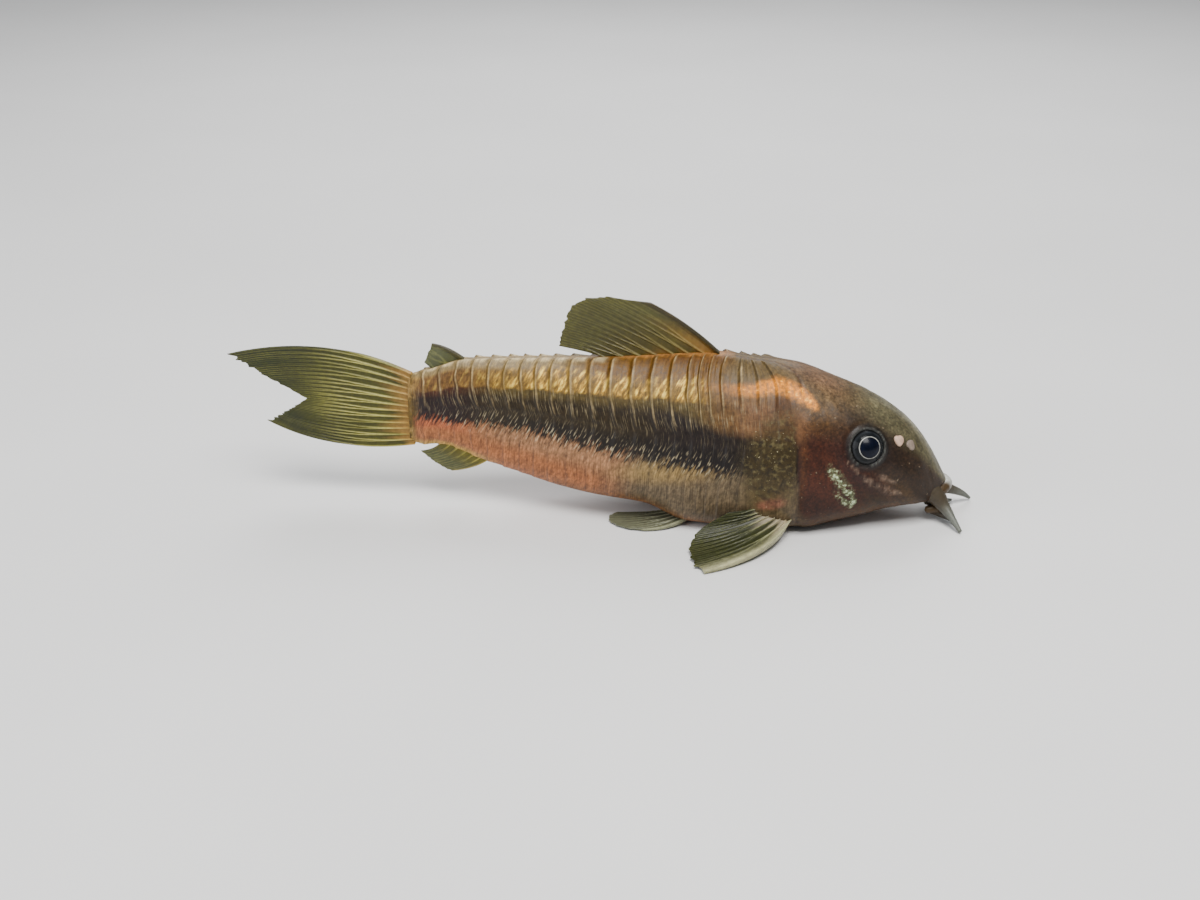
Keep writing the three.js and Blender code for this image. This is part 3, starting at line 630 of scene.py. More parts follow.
def build_skin(material):
    """Both halves as one closed skin, with a cap over the snout and one inside the caudal fin."""
    (right, right_values), (left, left_values) = half_skin(RIGHT), half_skin(LEFT)

    def ring(a, b):
        return np.concatenate([a, b[:, -2:0:-1]], axis=1)

    points = ring(right, left)
    rows, columns = points.shape[:2]
    ends = np.array([points[0].mean(0), points[-1].mean(0)])
    values = {}
    for key, half in right_values.items():
        whole = ring(half, left_values[key])
        flat = whole.reshape(-1, *whole.shape[2:])
        values[key] = np.concatenate([flat, whole[0, :1], whole[-1, :1]])
    faces, uvs = grid_faces(rows, columns, True, flip=True)
    faces, uvs = with_caps(faces, uvs, end_caps(rows, columns, False))
    piece = new_mesh("skin", np.vstack([points.reshape(-1, 3), ends]), faces, uvs, values)
    return place(piece, material, "skin_trunk", "head", "trunk", "tail")


# Fins

MARGIN_NOTCH, MARGIN_RAGGED = 0.012, 0.025  # shares of a ray's length
KNOTS, KNOT_RISE = 75, 0.12  # the joints along a ray
SPINE_HALF = (0.45, 0.16)  # half thickness at the root and at the tip
MEMBRANE_TIP, RAY_TIP = 0.05, 0.08


def bezier(root, bend, tip, t):
    t = t[..., None]
    return (1 - t) ** 2 * root + 2 * t * (1 - t) * bend + t**2 * tip


def ridges(v, t, forks, width):
    """Rays at whole v, each forking twice on the way out."""
    part = v + 0.16 * (noise(np.round(v) * 3.7, t * 3, 19) - 0.5) - np.round(v)
    first, second = (smooth(t, fork, fork + 0.5) for fork in forks)
    wide = width * mix(1, 0.5, smooth(t, 0.1, 0.7))
    ridge = np.zeros(np.broadcast(v, t).shape)
    for a in (-1, 1):
        for b in (-1, 1):
            ridge = np.maximum(ridge, near(part, first * 0.25 * a + second * 0.12 * b, wide))
    return ridge


def build_fin(name, node, count, curve, colours, material, per_ray=18, steps=60, forks=(0.3, 0.6),
              width=0.11, spine=0, spine_width=0.28, membrane=0.12, ray=0.27, ripple=0.0, wave=5):
    """A fin over rays 0 to count. curve(v) gives root, bend and tip arrays for ray numbers v."""
    v = np.linspace(0, count, count * per_ray + 1)[:, None]
    t = np.linspace(0, 1, steps + 1)[None, :]
    between = np.sin(np.pi * v) ** 2
    ragged = MARGIN_RAGGED * (noise(v * 5.3, 0.0, 17) - 0.5)
    reach = t * (1 - MARGIN_NOTCH * between + ragged * smooth(v, 0.2, 0.6))
    middle = bezier(*curve(v), reach)
    ridge = ridges(v, t, forks, width)
    spine_share = near(v, 0, spine_width) * spine
    web_half = mix(membrane, MEMBRANE_TIP, t)
    knots = 1 + KNOT_RISE * np.sin(t * KNOTS) * smooth(t, 0.2, 0.4)
    ray_half = mix(ray, RAY_TIP, smooth(t, 0, 0.95)) * knots
    half = web_half + (ray_half - web_half) * ridge
    half = np.maximum(half, spine_share * mix(*SPINE_HALF, t))
    normal = np.cross(np.gradient(middle, axis=0), np.gradient(middle, axis=1))
    normal = normal / np.maximum(np.linalg.norm(normal, axis=-1, keepdims=True), 1e-9)
    ripples = ripple * np.sin(v * 2 * np.pi / wave + 1) * t**1.5
    middle = middle + normal * ripples[..., None]
    faces_apart = normal * half[..., None]
    points = np.concatenate([middle + faces_apart, middle - faces_apart]).reshape(-1, 3)
    points[:, 2] = np.maximum(points[:, 2], 0.0)

    rows, columns = half.shape
    front_faces, front_uv = grid_faces(rows, columns, False)
    back_faces, back_uv = grid_faces(rows, columns, False, flip=True, offset=rows * columns)
    index = np.arange(rows * columns).reshape(rows, columns)
    rim = np.concatenate([index[0, :-1], index[:-1, -1], index[-1, :0:-1], index[:0:-1, 0]])
    following = np.roll(rim, -1)
    rim_faces = np.stack([rim + rows * columns, following + rows * columns, following, rim], 1)
    rim_uv = np.zeros((len(rim), 4, 2)) + [0.5, 0.5]
    faces = np.concatenate([front_faces, back_faces, rim_faces]).tolist()
    uvs = [front_uv * [1.0, 0.48], back_uv * [1.0, 0.48] + [0.0, 0.52], rim_uv]
    tint = colours(*np.broadcast_arrays(v, t, ridge, spine_share)).reshape(-1, 3)
    piece = new_mesh(name, points, faces, np.concatenate(uvs).tolist(), {"tint": np.concatenate([tint] * 2)})
    return place(piece, material, "fin", node)


def fin_colours(root, web, ray, tip, spine, root_reach=0.25, front_root=0.0, way_out=lambda v, t: t):
    """Colours over ray number v and the way out t: root, membrane, rays, margin and spine."""
    root, web, ray, tip, spine = (seen(*rgb) for rgb in (root, web, ray, tip, spine))

    def colours(v, t, ridge, spine_share):
        far = way_out(v, t)
        colour = over(web, tip, smooth(far, 0.2, 0.75) * 0.95)
        colour = over(colour, colour * 0.5, fade(ridge, 0.1, 0.5) * 0.6)
        vivid = np.clip(0.2 + 1.2 * noise(v * 1.1, t * 2.2, 73), 0, 1)
        colour = over(colour, ray, ridge * vivid * mix(0.95, 0.14, smooth(far, 0.12, 0.6)))
        rooted = root_reach * (0.4 + 1.2 * noise(v * 1.9, 0.0, 77))
        colour = over(colour, root, fade(t / rooted, 0.1, 1.0) * 0.8)
        colour = over(colour, root, front_root * fade(t, 0.1, 0.75) * fade(v, 0.3, 1.8))
        colour = over(colour, spine, spine_share)
        return colour * (0.75 + 0.5 * layered(v * 0.8, t * 6, 71))[..., None]

    return colours


def column(*values):
    """Stacks x, y and z, each a number or an array of shape (n, 1), into points."""
    return np.stack(np.broadcast_arrays(*values), -1).astype(float)


ROOT_DEPTH = 0.9

DORSAL_RAYS = 7
dorsal_tip_x = profile([[0, 4.5], [1, 0.4], [2, -1.4], [3, -2.6], [4, -3.3], [7, -4.1]])
dorsal_tip_z = profile([[0, 20.6], [1, 21.1], [2, 21.0], [3, 20.4], [4, 19.3], [7, 16.2]])


def dorsal_curve(v):
    t = v / DORSAL_RAYS
    root_x = mix(11.4, 1.7, t)
    root = column(root_x + 0.5, 0, top_line(root_x) - ROOT_DEPTH)
    tip = column(dorsal_tip_x(v), 0, dorsal_tip_z(v))
    return root, (root + tip) / 2 + column(0.3, 0, mix(0.75, 0.3, t)), tip


ADIPOSE_RAYS = 2


def adipose_curve(v):
    t = v / ADIPOSE_RAYS
    root = column(mix(-11.9, -15.3, t), 0, mix(13.6, 12.7, t))
    bend = column(mix(-14, -16, t), 0, mix(15.8, 13.4, t))
    tip = column(mix(-16.1, -16.9, t), 0, mix(16.1, 14.2, t))
    return root, bend, tip


ANAL_RAYS = 6


def anal_curve(v):
    t = v / ANAL_RAYS
    root_x = mix(-10.2, -15, t)
    root = column(root_x, 0, belly_line(root_x) + ROOT_DEPTH)
    tip = column(mix(-14.6, -17.6, t), 0, mix(3.0, 5.0, t**1.4))
    return root, (root + tip) / 2 + column(0.5, 0, -0.7), tip


CAUDAL_RAYS = 14


def caudal_level(v):
    """From 1 at the top ray to -1 at the lowest."""
    return 1 - 2 * v / (CAUDAL_RAYS - 1)


def caudal_curve(v):
    level = caudal_level(v)
    upper = level > 0
    out = np.abs(level) ** 0.85
    root = column(TAIL_END_X + 0.5, 0, 9.4 + 3.65 * level)
    bend = column(-26.4, 0.35, 9.9 + np.where(upper, 7, 5.6) * level)
    tip_x = mix(-28.4, np.where(upper, -35.88, -32.4), out)
    tip = column(tip_x, 0, mix(10.1, np.where(upper, 14.5, 7.7), out))
    return root, bend, tip


PECTORAL_RAYS = 7
pectoral_tip_x = profile([[0, 10.2], [1, 9.3], [3, 8.7], [5, 9.3], [7, 12.2]])
pectoral_tip_y = profile([[0, 14.3], [1, 13.1], [3, 10.4], [5, 8.3], [7, 7.5]])
pectoral_tip_z = profile([[0, 0.28], [3, 0.4], [5, 1.2], [7, 3]])


def pectoral_curve(v):
    """The left fin."""
    t = v / PECTORAL_RAYS
    root = column(mix(18.1, 15.7, t), 5.6, mix(1.5, 2.9, t))
    tip = column(pectoral_tip_x(v), pectoral_tip_y(v), pectoral_tip_z(v))
    return root, (root + tip) / 2 + column(mix(2.3, 0.2, t), mix(1.5, 0.6, t), mix(-0.2, 0.1, t)), tip


PELVIC_RAYS = 5
pelvic_tip_x = profile([[0, 4.4], [1, 3], [2, 1.8], [3, 1], [4, 0.9], [5, 1.6]])
pelvic_tip_y = profile([[0, 6.1], [1, 5.9], [2, 5.3], [3, 4.4], [4, 3.4], [5, 2.5]])


def pelvic_curve(v):
    """The left fin."""
    t = v / PELVIC_RAYS
    root = column(mix(8.6, 7.4, t), mix(3.9, 2.6, t), 0.75)
    tip = column(pelvic_tip_x(v), pelvic_tip_y(v), 0.22)
    return root, (root + tip) / 2 + column(0.5, mix(0.9, 0, t), -0.2), tip


def on_side(curve, side):
    """The curve of a left fin, set on either side."""
    flip = np.array([1, side, 1])
    return lambda v: [points * flip for points in curve(v)]


# Colours of each fin's root, membrane, rays, margin and spine
FIN_COLOURS = {
    "dorsal": [(156, 114, 68), (88, 80, 52), (132, 122, 82), (78, 78, 62), (66, 62, 54)],
    "adipose": [(120, 108, 74), (82, 84, 60), (160, 156, 90), (88, 92, 76), (66, 62, 54)],
    "anal": [(194, 168, 86), (128, 120, 58), (202, 188, 100), (88, 92, 76), (190, 166, 90)],
    "caudal": [(164, 126, 74), (90, 90, 54), (184, 178, 106), (50, 55, 47), (116, 116, 84)],
    "pectoral": [(196, 182, 156), (62, 66, 50), (172, 172, 132), (60, 64, 52), (168, 166, 132)],
    "pelvic": [(128, 118, 98), (108, 110, 94), (176, 178, 152), (104, 106, 90), (160, 162, 132)],
}
FIN_PAINT = {
    "dorsal": {"root_reach": 0.2, "front_root": 0.5},
    "caudal": {"root_reach": 0.18, "way_out": lambda v, t: t * (0.58 + 0.42 * np.abs(caudal_level(v)))},
    "pectoral": {"root_reach": 0.32},
    "pelvic": {"root_reach": 0.2},
}
FIN_FORMS = {
    "dorsal": {"spine": 1, "ripple": 0.12, "forks": (0.1, 0.4), "width": 0.1, "per_ray": 26},
    "adipose": {"spine": 0.8, "ray": 0.2},
    "anal": {"spine": 0.6},
    "caudal": {
        "ripple": 0.1, "wave": 6, "steps": 90, "ray": 0.32, "membrane": 0.15, "per_ray": 24,
        "forks": (0.08, 0.34),
    },
    "pectoral": {
        "spine": 1, "spine_width": 0.55, "steps": 70, "ray": 0.3, "forks": (0.2, 0.5), "per_ray": 26,
    },
    "pelvic": {"spine": 0.6, "ray": 0.2, "width": 0.12, "forks": (0.2, 0.5), "per_ray": 26},
}


def add_fin(kind, count, curve, material, word=""):
    colours = fin_colours(*FIN_COLOURS[kind], **FIN_PAINT.get(kind, {}))
    build_fin(kind + word, kind + "_fin" + word, count, curve, colours, material, **FIN_FORMS[kind])


# Eyes, nostrils, lips and barbels

FLAP_THICKNESS, FLAP_RISE = 0.17, 0.07
# x, s, half width, half height, turn in degrees and colour of the skin flap at each nostril
NOSTRILS = {
    "rear": (27.77, 0.324, 0.46, 0.6, 8, (204, 172, 150)),
    "front": (28.91, 0.301, 0.52, 0.46, 30, (138, 124, 114)),
}
# Height and front of each lip, and its radii from the corner of the mouth to the middle
LIPS = {"lip_upper": (3.15, 32.95, (0.36, 0.52, 0.55)), "lip_lower": (1.35, 32.6, (0.33, 0.48, 0.5))}
# x, y, z and radius along each barbel
BARBELS = {
    "barbel_upper_right": [
        (30.7, -1.7, 3.4, 1.0), (31.75, -1.8, 2.75, 0.95), (32.6, -2.3, 1.75, 0.6), (33.3, -3.25, 1.05, 0.34),
        (34.0, -4.45, 0.24, 0.2),
    ],
    "barbel_upper_left": [
        (31.2, 1.2, 3.2, 0.9), (32.2, 1.05, 2.4, 0.74), (33.6, 1.7, 1.8, 0.48), (34.9, 2.5, 1.0, 0.3),
        (35.75, 3.1, 0.24, 0.14),
    ],
    "barbel_lower_right": [
        (31.3, -0.8, 0.9, 0.42), (32.4, -1.3, 0.6, 0.36), (33.25, -1.95, 0.4, 0.26),
        (33.75, -2.75, 0.24, 0.14),
    ],
    "barbel_lower_left": [
        (31.3, 0.8, 0.9, 0.42), (32.4, 1.3, 0.6, 0.36), (33.25, 1.95, 0.4, 0.26), (33.9, 2.5, 0.24, 0.14),
    ],
}


def ball(centre, axes, radii, rings, around):
    """A closed ellipsoid, and each point's tilt from the last axis, which points out."""
    polar = np.linspace(0.0, np.pi, rings + 1)[1:-1]
    turn = np.linspace(0, 2 * np.pi, around, endpoint=False)
    p, a = polar[:, None], turn[None, :]
    parts = np.stack([np.sin(p) * np.cos(a), np.sin(p) * np.sin(a), np.cos(p) + 0 * a], -1) * radii
    poles = np.array([[0, 0, 1], [0, 0, -1]]) * radii
    points = np.vstack([parts.reshape(-1, 3), poles]) @ np.array(axes) + centre
    faces, uvs = grid_faces(len(polar), around, True)
    tilt = np.concatenate([np.repeat(polar, around), [0, np.pi]])
    return points, *with_caps(faces, uvs, end_caps(len(polar), around, True)), tilt


def tangent_axes(normal, turn=0.0):
    """Two directions along the skin, turned by an angle, and the way out of it."""
    e1 = np.cross([0.0, 0.0, 1.0], normal)
    e1 = e1 / np.linalg.norm(e1)
    e2 = np.cross(normal, e1)
    c, s = math.cos(turn), math.sin(turn)
    return [e1 * c + e2 * s, e2 * c - e1 * s, normal]


def build_eye(name, side, node, material):
    surface, normal = eye_frame(side)
    centre = surface - normal * EYE_SUNK
    points, faces, uvs, tilt = ball(centre, tangent_axes(normal), [EYE_RADIUS] * 3, 64, 64)
    bulge = 0.035 * near(tilt, 0, 0.45)
    points = centre + (points - centre) * (1 + bulge)[:, None]
    radius = EYE_RADIUS * np.where(tilt > np.pi / 2, 1.0, np.sin(tilt))
    return place(new_mesh(name, points, faces, uvs, {"radius": radius}), material, "eye", node)


def build_flap(name, side, nostril, material):
    """One of the pale skin flaps beside a nostril."""
    x, s, wide, high, turn, rgb = nostril
    normal = skin_normal(x, s, side)
    centre = skin_point(x, s, side) + normal * FLAP_RISE
    axes = tangent_axes(normal, math.radians(turn) * -side)
    points, faces, uvs, _ = ball(centre, axes, [wide, high, FLAP_THICKNESS], 24, 32)
    flat = (points - centre) @ np.array(axes[:2]).T / [wide, high]
    around = np.arctan2(flat[:, 1], flat[:, 0])
    lobes = 0.14 * np.sin(2 * around + turn) + 0.09 * np.sin(3 * around + 1)
    points = points + (flat * lobes[:, None] * [wide, high]) @ np.array(axes[:2])
    tint = over(seen(*rgb), seen(*rgb) * 0.6, smooth(np.linalg.norm(flat, axis=1), 0.8, 1.0))
    return place(new_mesh(name, points, faces, uvs, {"tint": tint}), material, "skin_head")


def tube(name, path, sides, samples, colour_at, material, slot, *nodes):
    """A tube through points of x, y, z and radius, closed at both ends."""
    path, radii = np.array(path, float)[:, :3], np.array(path, float)[:, 3]
    last = len(path) - 1
    t = np.linspace(0, last, samples + 1)
    knots = np.vstack([2 * path[0] - path[1], path, 2 * path[-1] - path[-2]])
    i = np.minimum(np.floor(t).astype(int), last - 1)
    f = (t - i)[:, None]
    p0, p1, p2, p3 = knots[i], knots[i + 1], knots[i + 2], knots[i + 3]
    curve = (2 * p0 - 5 * p1 + 4 * p2 - p3) * f**2 + (3 * p1 - p0 - 3 * p2 + p3) * f**3
    line = 0.5 * (2 * p1 + (p2 - p0) * f + curve)
    radius = np.interp(t, np.arange(last + 1), radii)
    tangent = np.gradient(line, axis=0)
    tangent = tangent / np.linalg.norm(tangent, axis=1, keepdims=True)
    side = np.cross(tangent, [0.0, 0.0, 1.0])
    side = side / np.linalg.norm(side, axis=1, keepdims=True)
    up = np.cross(side, tangent)
    turn = np.linspace(0, 2 * np.pi, sides, endpoint=False)[None, :, None]
    ring = np.cos(turn) * side[:, None] + np.sin(turn) * up[:, None]
    wrinkle = 1 + 0.02 * np.sin(t * 22)[:, None, None]
    points = line[:, None] + ring * radius[:, None, None] * wrinkle
    tips = [line[0] - tangent[0] * radius[0] * 0.6, line[-1] + tangent[-1] * radius[-1] * 0.5]
    points = np.vstack([points.reshape(-1, 3), tips])
    points[:, 2] = np.maximum(points[:, 2], 0.0)
    faces, uvs = grid_faces(samples + 1, sides, True, flip=True)
    faces, uvs = with_caps(faces, uvs, end_caps(samples + 1, sides, False))
    share = np.concatenate([np.repeat(t / last, sides), [0.0, 1.0]])
    piece = new_mesh(name, points, faces, uvs, {"tint": colour_at(share, points)})
    return place(piece, material, slot, *nodes)


def lip_path(height, front, radii):
    """Round the mouth from its left corner to its right one."""
    left = [(31.0, 1.9, height - 0.15, radii[0]), (32.3, 1.55, height, radii[1])]
    right = [(x, -y, z, radius) for x, y, z, radius in reversed(left)]
    return [*left, (front, 0.0, height + 0.1, radii[2]), *right]


def lip_colour(_, points):
    """Pale in the middle and dark at the corners."""
    return over(seen(182, 182, 176), seen(78, 66, 56), smooth(np.abs(points[:, 1]) / 2, 0.25, 0.7))


def barbel_colour(share, _):
    return over(seen(76, 70, 64), seen(104, 107, 102), smooth(share, 0.35, 0.8))


# Materials


class Nodes:
    """A material's nodes, with the colour that its layers build up."""

    def __init__(self, name):
        self.material = bpy.data.materials.new(name)
        self.material.use_nodes = True
        self.tree = self.material.node_tree
        self.shader = self.tree.nodes["Principled BSDF"]
        metres = self.add("ShaderNodeTexCoord").outputs["Object"]
        self.where = self.stretch(metres, (1000, 1000, 1000))
        self.colour = None

    def add(self, kind, **settings):
        node = self.tree.nodes.new(kind)
        for key, value in settings.items():
            if key.startswith("in_"):
                self.feed(node.inputs[key[3:].replace("_", " ")], value)
            else:
                setattr(node, key, value)
        return node

    def feed(self, socket, value):
        """Links an output to the socket, or sets the socket to a value."""
        if isinstance(value, bpy.types.NodeSocket):
            self.tree.links.new(value, socket)
        else:
            socket.default_value = value

    def attribute(self, name):
        return self.add("ShaderNodeAttribute", attribute_name=name).outputs["Color"]

    def share(self, name):
        return self.add("ShaderNodeAttribute", attribute_name=name).outputs["Fac"]

    def stretch(self, vector, scale, shift=(0, 0, 0)):
        return self.add("ShaderNodeMapping", in_Vector=vector, in_Scale=scale, in_Location=shift).outputs[0]

    def plane(self, x, y):
        """A vector of two of the skin's own measures."""
        return self.add("ShaderNodeCombineXYZ", in_X=x, in_Y=y).outputs[0]

    def math(self, operation, *values):
        node = self.add("ShaderNodeMath", operation=operation)
        for socket, value in zip(node.inputs, values):
            self.feed(socket, value)
        return node.outputs[0]

    def step(self, value, low, high):
        """0 at low, 1 at high and smooth between."""
        limits = {"in_From_Min": low, "in_From_Max": high}
        node = self.add("ShaderNodeMapRange", interpolation_type="SMOOTHSTEP", in_Value=value, **limits)
        return node.outputs["Result"]

    def times(self, *values):
        product = values[0]
        for value in values[1:]:
            product = self.math("MULTIPLY", product, value)
        return product

    def noise(self, vector, scale, detail=3.0, roughness=0.55):
        settings = {"in_Scale": scale, "in_Detail": detail, "in_Roughness": roughness}
        return self.add("ShaderNodeTexNoise", in_Vector=vector, **settings).outputs["Fac"]

    def grain(self, vector, scale, shift=(0, 0, 0), detail=2.0):
        """Noise with a scale for each direction."""
        return self.noise(self.stretch(vector, scale, shift), 1.0, detail)

    def ramp(self, value, stops):
        node = self.add("ShaderNodeValToRGB", in_Fac=value)
        elements = node.color_ramp.elements
        while len(elements) < len(stops):
            elements.new(0.5)
        for element, (position, colour) in zip(elements, stops):
            element.position = position
            element.color = (*colour, 1)
        return node.outputs["Color"]

    def greys(self, value, *stops):
        """A ramp of greys, from pairs of position and brightness."""
        return self.ramp(value, [(position, (grey, grey, grey)) for position, grey in stops])

    def mixed(self, a, b, factor, blend="MIX"):
        node = self.add("ShaderNodeMix", data_type="RGBA", blend_type=blend)
        for number, value in ((0, factor), (6, a), (7, b)):
            self.feed(node.inputs[number], value)
        return node.outputs[2]

    def tint(self, rgb, *shares):
        """Lays a colour over the material's, by the product of the shares."""
        self.colour = self.mixed(self.colour, (*seen(*rgb), 1), self.times(*shares))

    def shade(self, value, stops, *shares):
        """Multiplies the material's colour by greys, by the product of the shares."""
        greys = self.greys(value, *stops)
        self.colour = self.mixed(self.colour, greys, self.times(*shares), "MULTIPLY")

    def bump(self, height, strength, distance, **under):
        settings = {"in_Strength": strength, "in_Distance": distance, **under}
        return self.add("ShaderNodeBump", in_Height=height, **settings).outputs["Normal"]

    def set(self, **values):
        for key, value in values.items():
            self.feed(self.shader.inputs[key.replace("_", " ")], value)


def skin_material():
    n = Nodes("armoured_skin")
    where, arc = n.where, n.share("arc")
    plates = n.plane(n.share("along"), arc)
    hairs = n.plane(n.share("lean"), arc)
    short_hairs = n.grain(hairs, (4.2, 0.9, 1))
    long_hairs = n.grain(hairs, (1.3, 0.4, 1), (7, 3, 0))
    fine = n.noise(where, 3.2, 5.0)

    # the dark band ends in short leaning hairs over the salmon row
    ragged = n.share("depth")
    for hair, reach in ((short_hairs, 2.2), (long_hairs, 0.9)):
        ragged = n.math("ADD", ragged, n.times(n.math("SUBTRACT", hair, 0.5), reach))
    n.colour = n.mixed(n.attribute("tint"), n.attribute("lower"), n.step(ragged, -0.34, 0.34))
    hairy, lines = n.share("hairy"), n.share("lines")
    n.tint((190, 176, 146), hairy, n.step(n.grain(hairs, (5.4, 1.1, 1), (2, 5, 0), 1.0), 0.56, 0.7), 0.65)
    n.tint((46, 42, 34), hairy, n.step(n.grain(hairs, (5.0, 1.0, 1), (9, 1, 0), 1.0), 0.56, 0.72), 0.6)
    n.shade(n.noise(where, 1.9, 4.0), [(0.34, 0.7), (0.5, 1.0), (0.66, 1.3)], lines, 0.8)

    # growth lines that follow the plates
    wide_lines = n.grain(plates, (7, 0.32, 1), detail=3.0)
    thin_lines = n.grain(plates, (19, 0.6, 1), (3, 8, 0))
    n.tint((132, 124, 104), lines, n.step(wide_lines, 0.56, 0.74), 0.3)
    n.tint((146, 134, 108), lines, n.step(thin_lines, 0.56, 0.7), 0.6)
    n.tint((50, 46, 36), lines, n.step(thin_lines, 0.46, 0.34), 0.5)
    row_lines = n.share("row_lines")
    n.shade(wide_lines, [(0.32, 0.55), (0.5, 1.0), (0.7, 1.35)], row_lines, 0.55)
    n.shade(thin_lines, [(0.34, 0.55), (0.5, 1.0), (0.68, 1.35)], row_lines, 0.85)

    # gold flecks on the upper row and on the bar over the shoulder, the brightest of them painted glints
    strokes = n.grain(hairs, (2.9, 1.1, 1), (5, 11, 0), 3.0)
    n.shade(strokes, [(0.36, 0.66), (0.5, 1.0), (0.64, 1.36)], row_lines, 0.7)
    mottle_and_glints = n.grain(hairs, (2.3, 0.75, 1), (2, 4, 0), 3.0)
    glow, bar = n.share("glow"), n.share("bar")
    n.tint((184, 144, 72), glow, n.step(mottle_and_glints, 0.42, 0.54), 0.9)
    # painted glints: the brightest gold spots on the upper row
    n.tint((240, 206, 104), glow, n.step(mottle_and_glints, 0.53, 0.62), 0.95)
    glitter = n.grain(where, (2.6, 2.6, 2.6), (4, 4, 4), 3.0)
    n.tint((214, 134, 54), bar, n.step(glitter, 0.36, 0.52), 0.95)
    # painted glints: the brightest spots on the bar
    n.tint((246, 182, 92), bar, n.step(glitter, 0.56, 0.68), 0.9)

    # pearl patch on the cheek and flecks on the shoulder, with tiny pale specks among them painted as glints
    pearl = n.times(n.share("pearl"), n.step(n.noise(where, 2.0), 0.36, 0.54))
    n.tint((116, 124, 96), pearl, 0.85)
    n.tint((186, 200, 164), pearl, n.step(n.noise(where, 3.2, 2.0), 0.5, 0.62))
    fleck = n.share("fleck")
    n.tint((108, 100, 76), fleck, n.step(n.noise(where, 2.2, 5.0), 0.48, 0.68), 0.6)
    n.tint((48, 44, 34), fleck, n.step(n.noise(where, 1.7, 5.0), 0.5, 0.36), 0.5)
    # painted glints: tiny pale sparkles on the shoulder
    n.tint((206, 196, 160), fleck, n.step(n.grain(where, (5, 5, 5), (1, 2, 3), 1.0), 0.72, 0.82), 0.8)

    # blotches, grain and pale dots of the head, and a fine grain over all
    on_head = n.share("on_head")
    n.shade(n.noise(where, 1.3, 5.0, 0.62), [(0.32, 0.7), (0.5, 1.0), (0.68, 1.32)], on_head, 0.8)
    n.shade(n.noise(where, 4.2, 2.0), [(0.36, 0.7), (0.5, 1.0), (0.64, 1.34)], on_head, 0.85)
    dots = n.grain(where, (3.1, 3.1, 3.1), (6, 2, 9), 1.0)
    n.tint((140, 124, 106), on_head, n.step(dots, 0.7, 0.78), 0.5)
    n.shade(fine, [(0.36, 0.76), (0.64, 1.22)], 1.0)

    bump = n.bump(n.noise(where, 8.0), 0.3, 0.00004)
    bump = n.bump(thin_lines, 0.25, 0.00005, in_Normal=bump)
    bump = n.bump(short_hairs, 0.15, 0.00005, in_Normal=bump)
    rough = n.greys(fine, (0.3, 0.4), (0.75, 0.58))
    n.set(Base_Color=n.colour, Roughness=rough, Normal=bump, Coat_Weight=0.03, Coat_Roughness=0.16)
    n.set(Specular_IOR_Level=0.24, Metallic=n.times(n.math("MAXIMUM", glow, bar), 0.12))
    n.set(Subsurface_Weight=0.05, Subsurface_Radius=(0.0008, 0.0004, 0.0003), Subsurface_Scale=1.0)
    return n.material


def fin_material():
    n = Nodes("fin_membrane")
    n.colour = n.attribute("tint")
    n.shade(n.noise(n.where, 2.4, 4.0), [(0.3, 0.78), (0.72, 1.18)], 1.0)
    bump = n.bump(n.noise(n.where, 8.0, 2.0), 0.2, 0.00003)
    n.set(Base_Color=n.colour, Roughness=0.45, Specular_IOR_Level=0.3, Normal=bump)
    n.set(Coat_Weight=0.03, Coat_Roughness=0.2)
    n.set(Subsurface_Weight=0.15, Subsurface_Radius=(0.001, 0.001, 0.0006), Subsurface_Scale=1.0)
    return n.material


def soft_material():
    n = Nodes("lip_and_barbel")
    n.colour = n.attribute("tint")
    n.shade(n.noise(n.where, 3.0, 4.0), [(0.3, 0.8), (0.72, 1.15)], 1.0)
    bump = n.bump(n.noise(n.where, 6.0), 0.25, 0.00004)
    n.set(Base_Color=n.colour, Roughness=0.5, Specular_IOR_Level=0.3, Normal=bump, Coat_Weight=0.05)
    n.set(Subsurface_Weight=0.1, Subsurface_Radius=(0.0006, 0.0005, 0.0004), Subsurface_Scale=1.0)
    return n.material


# The eye's rings from the pupil out: the way across EYE_RINGS_END, red, green and blue
EYE_RINGS_END = 2.0
EYE_RINGS = [
    (0.0, 4, 8, 20), (0.42, 6, 12, 28), (0.475, 4, 6, 10), (0.492, 168, 168, 162), (0.508, 150, 150, 144),
    (0.528, 14, 17, 20), (0.64, 16, 19, 22), (0.71, 36, 39, 42), (0.76, 12, 13, 14), (1.0, 14, 13, 13),
]


def eye_material():
    n = Nodes("wet_eye")
    across = n.math("DIVIDE", n.share("radius"), EYE_RINGS_END)
    n.colour = n.ramp(across, [(position, srgb(*rgb)) for position, *rgb in EYE_RINGS])
    n.shade(n.noise(n.where, 1.4), [(0.38, 0.6), (0.62, 1.15)], 1.0)
    n.set(Base_Color=n.colour, Roughness=0.3, Coat_Weight=0.1, Coat_Roughness=0.05, Specular_IOR_Level=0.1)
    return n.material


def floor_material():
    n = Nodes("studio_floor")
    n.set(Base_Color=n.greys(n.noise(n.where, 0.02, 2.0), (0.3, 0.7), (0.7, 0.74)), Roughness=0.75)
    return n.material


# The fish

skin_look, fin_look, soft_look, eye_look = skin_material(), fin_material(), soft_material(), eye_material()

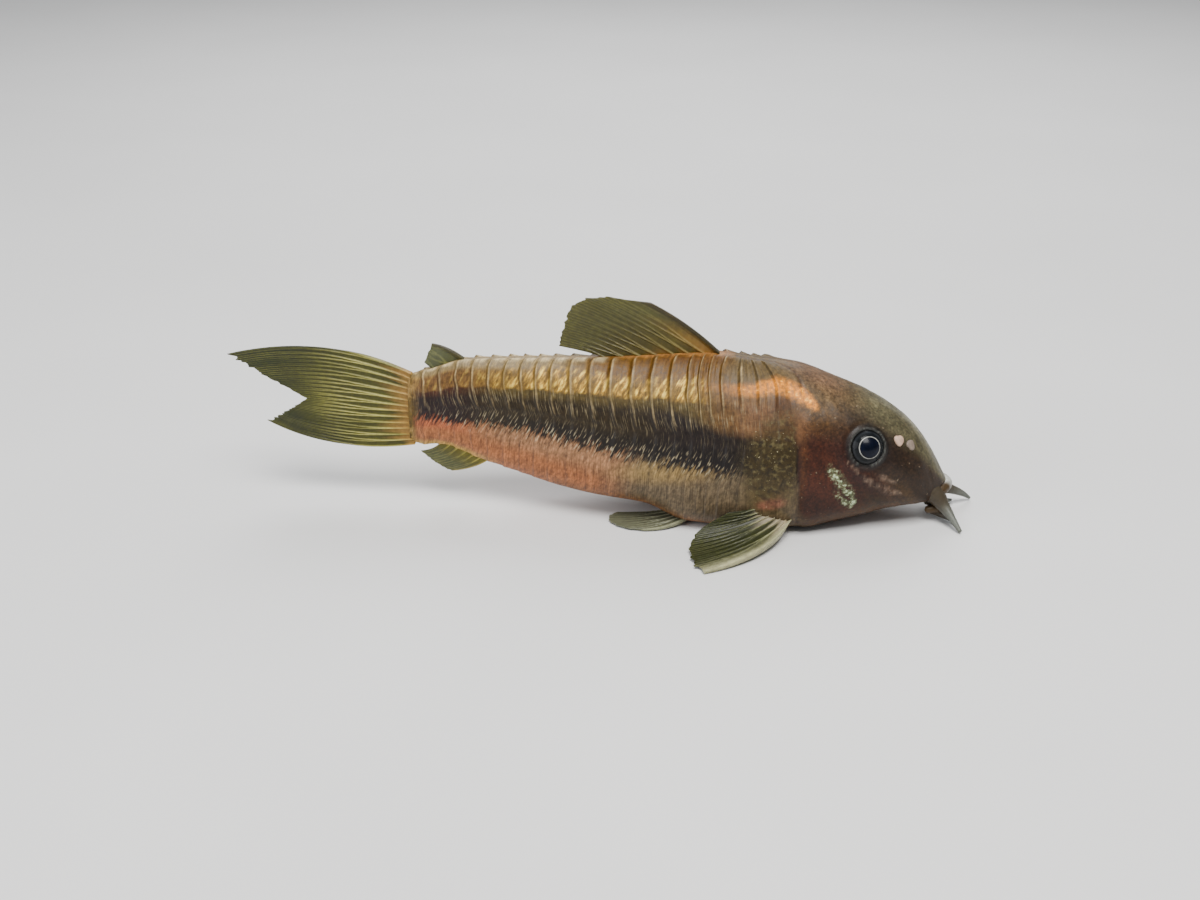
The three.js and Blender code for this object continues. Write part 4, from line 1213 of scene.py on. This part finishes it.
build_skin(skin_look)
for word, side in SIDES.items():
    build_eye("eyeball_" + word, side, "eye_" + word, eye_look)
add_fin("dorsal", DORSAL_RAYS, dorsal_curve, fin_look)
add_fin("adipose", ADIPOSE_RAYS, adipose_curve, fin_look)
add_fin("anal", ANAL_RAYS, anal_curve, fin_look)
add_fin("caudal", CAUDAL_RAYS - 1, caudal_curve, fin_look)
for word, side in SIDES.items():
    add_fin("pectoral", PECTORAL_RAYS, on_side(pectoral_curve, side), fin_look, "_" + word)
    add_fin("pelvic", PELVIC_RAYS, on_side(pelvic_curve, side), fin_look, "_" + word)
    for end, nostril in NOSTRILS.items():
        build_flap("nostril_flap_" + end + "_" + word, side, nostril, soft_look)
for name, lip in LIPS.items():
    tube(name, lip_path(*lip), 20, 48, lip_colour, soft_look, "skin_head")
for name, path in BARBELS.items():
    tube(name + "_soft", path, 18, 36, barbel_colour, soft_look, "barbel", name)


# Floor, light and camera

bpy.ops.mesh.primitive_plane_add(size=FLOOR_SIZE, location=(0, 0, 0))
floor = bpy.context.object
floor.name = "floor"
floor.data.materials.append(floor_material())


def area_light(name, location, target, size, power, colour):
    data = bpy.data.lights.new(name, "AREA")
    data.size = size
    data.energy = power
    data.color = colour
    light = bpy.data.objects.new(name, data)
    light.location = location
    aim = Vector(target) - Vector(location)
    light.rotation_euler = aim.to_track_quat("-Z", "Y").to_euler()
    bpy.context.scene.collection.objects.link(light)


for name, settings in LIGHTS.items():
    area_light(name, *settings)

world = bpy.data.worlds.new("studio")
world.use_nodes = True
sky = world.node_tree.nodes["Background"]
sky.inputs["Color"].default_value = SKY_COLOUR
sky.inputs["Strength"].default_value = SKY_STRENGTH
bpy.context.scene.world = world

azimuth, elevation = math.radians(CAMERA_AZIMUTH), math.radians(CAMERA_ELEVATION)
backward = np.array([
    math.sin(azimuth) * math.cos(elevation),
    -math.cos(azimuth) * math.cos(elevation),
    math.sin(elevation),
])
camera_data = bpy.data.cameras.new("camera")
camera_data.sensor_width = CAMERA_SENSOR
camera_data.lens = CAMERA_LENS
camera_data.clip_start = CAMERA_NEAR * MM
camera = bpy.data.objects.new("camera", camera_data)
camera.location = Vector((CAMERA_TARGET + backward * CAMERA_DISTANCE) * MM)
camera.rotation_euler = Vector(-backward).to_track_quat("-Z", "Y").to_euler()
bpy.context.scene.collection.objects.link(camera)
bpy.context.scene.camera = camera
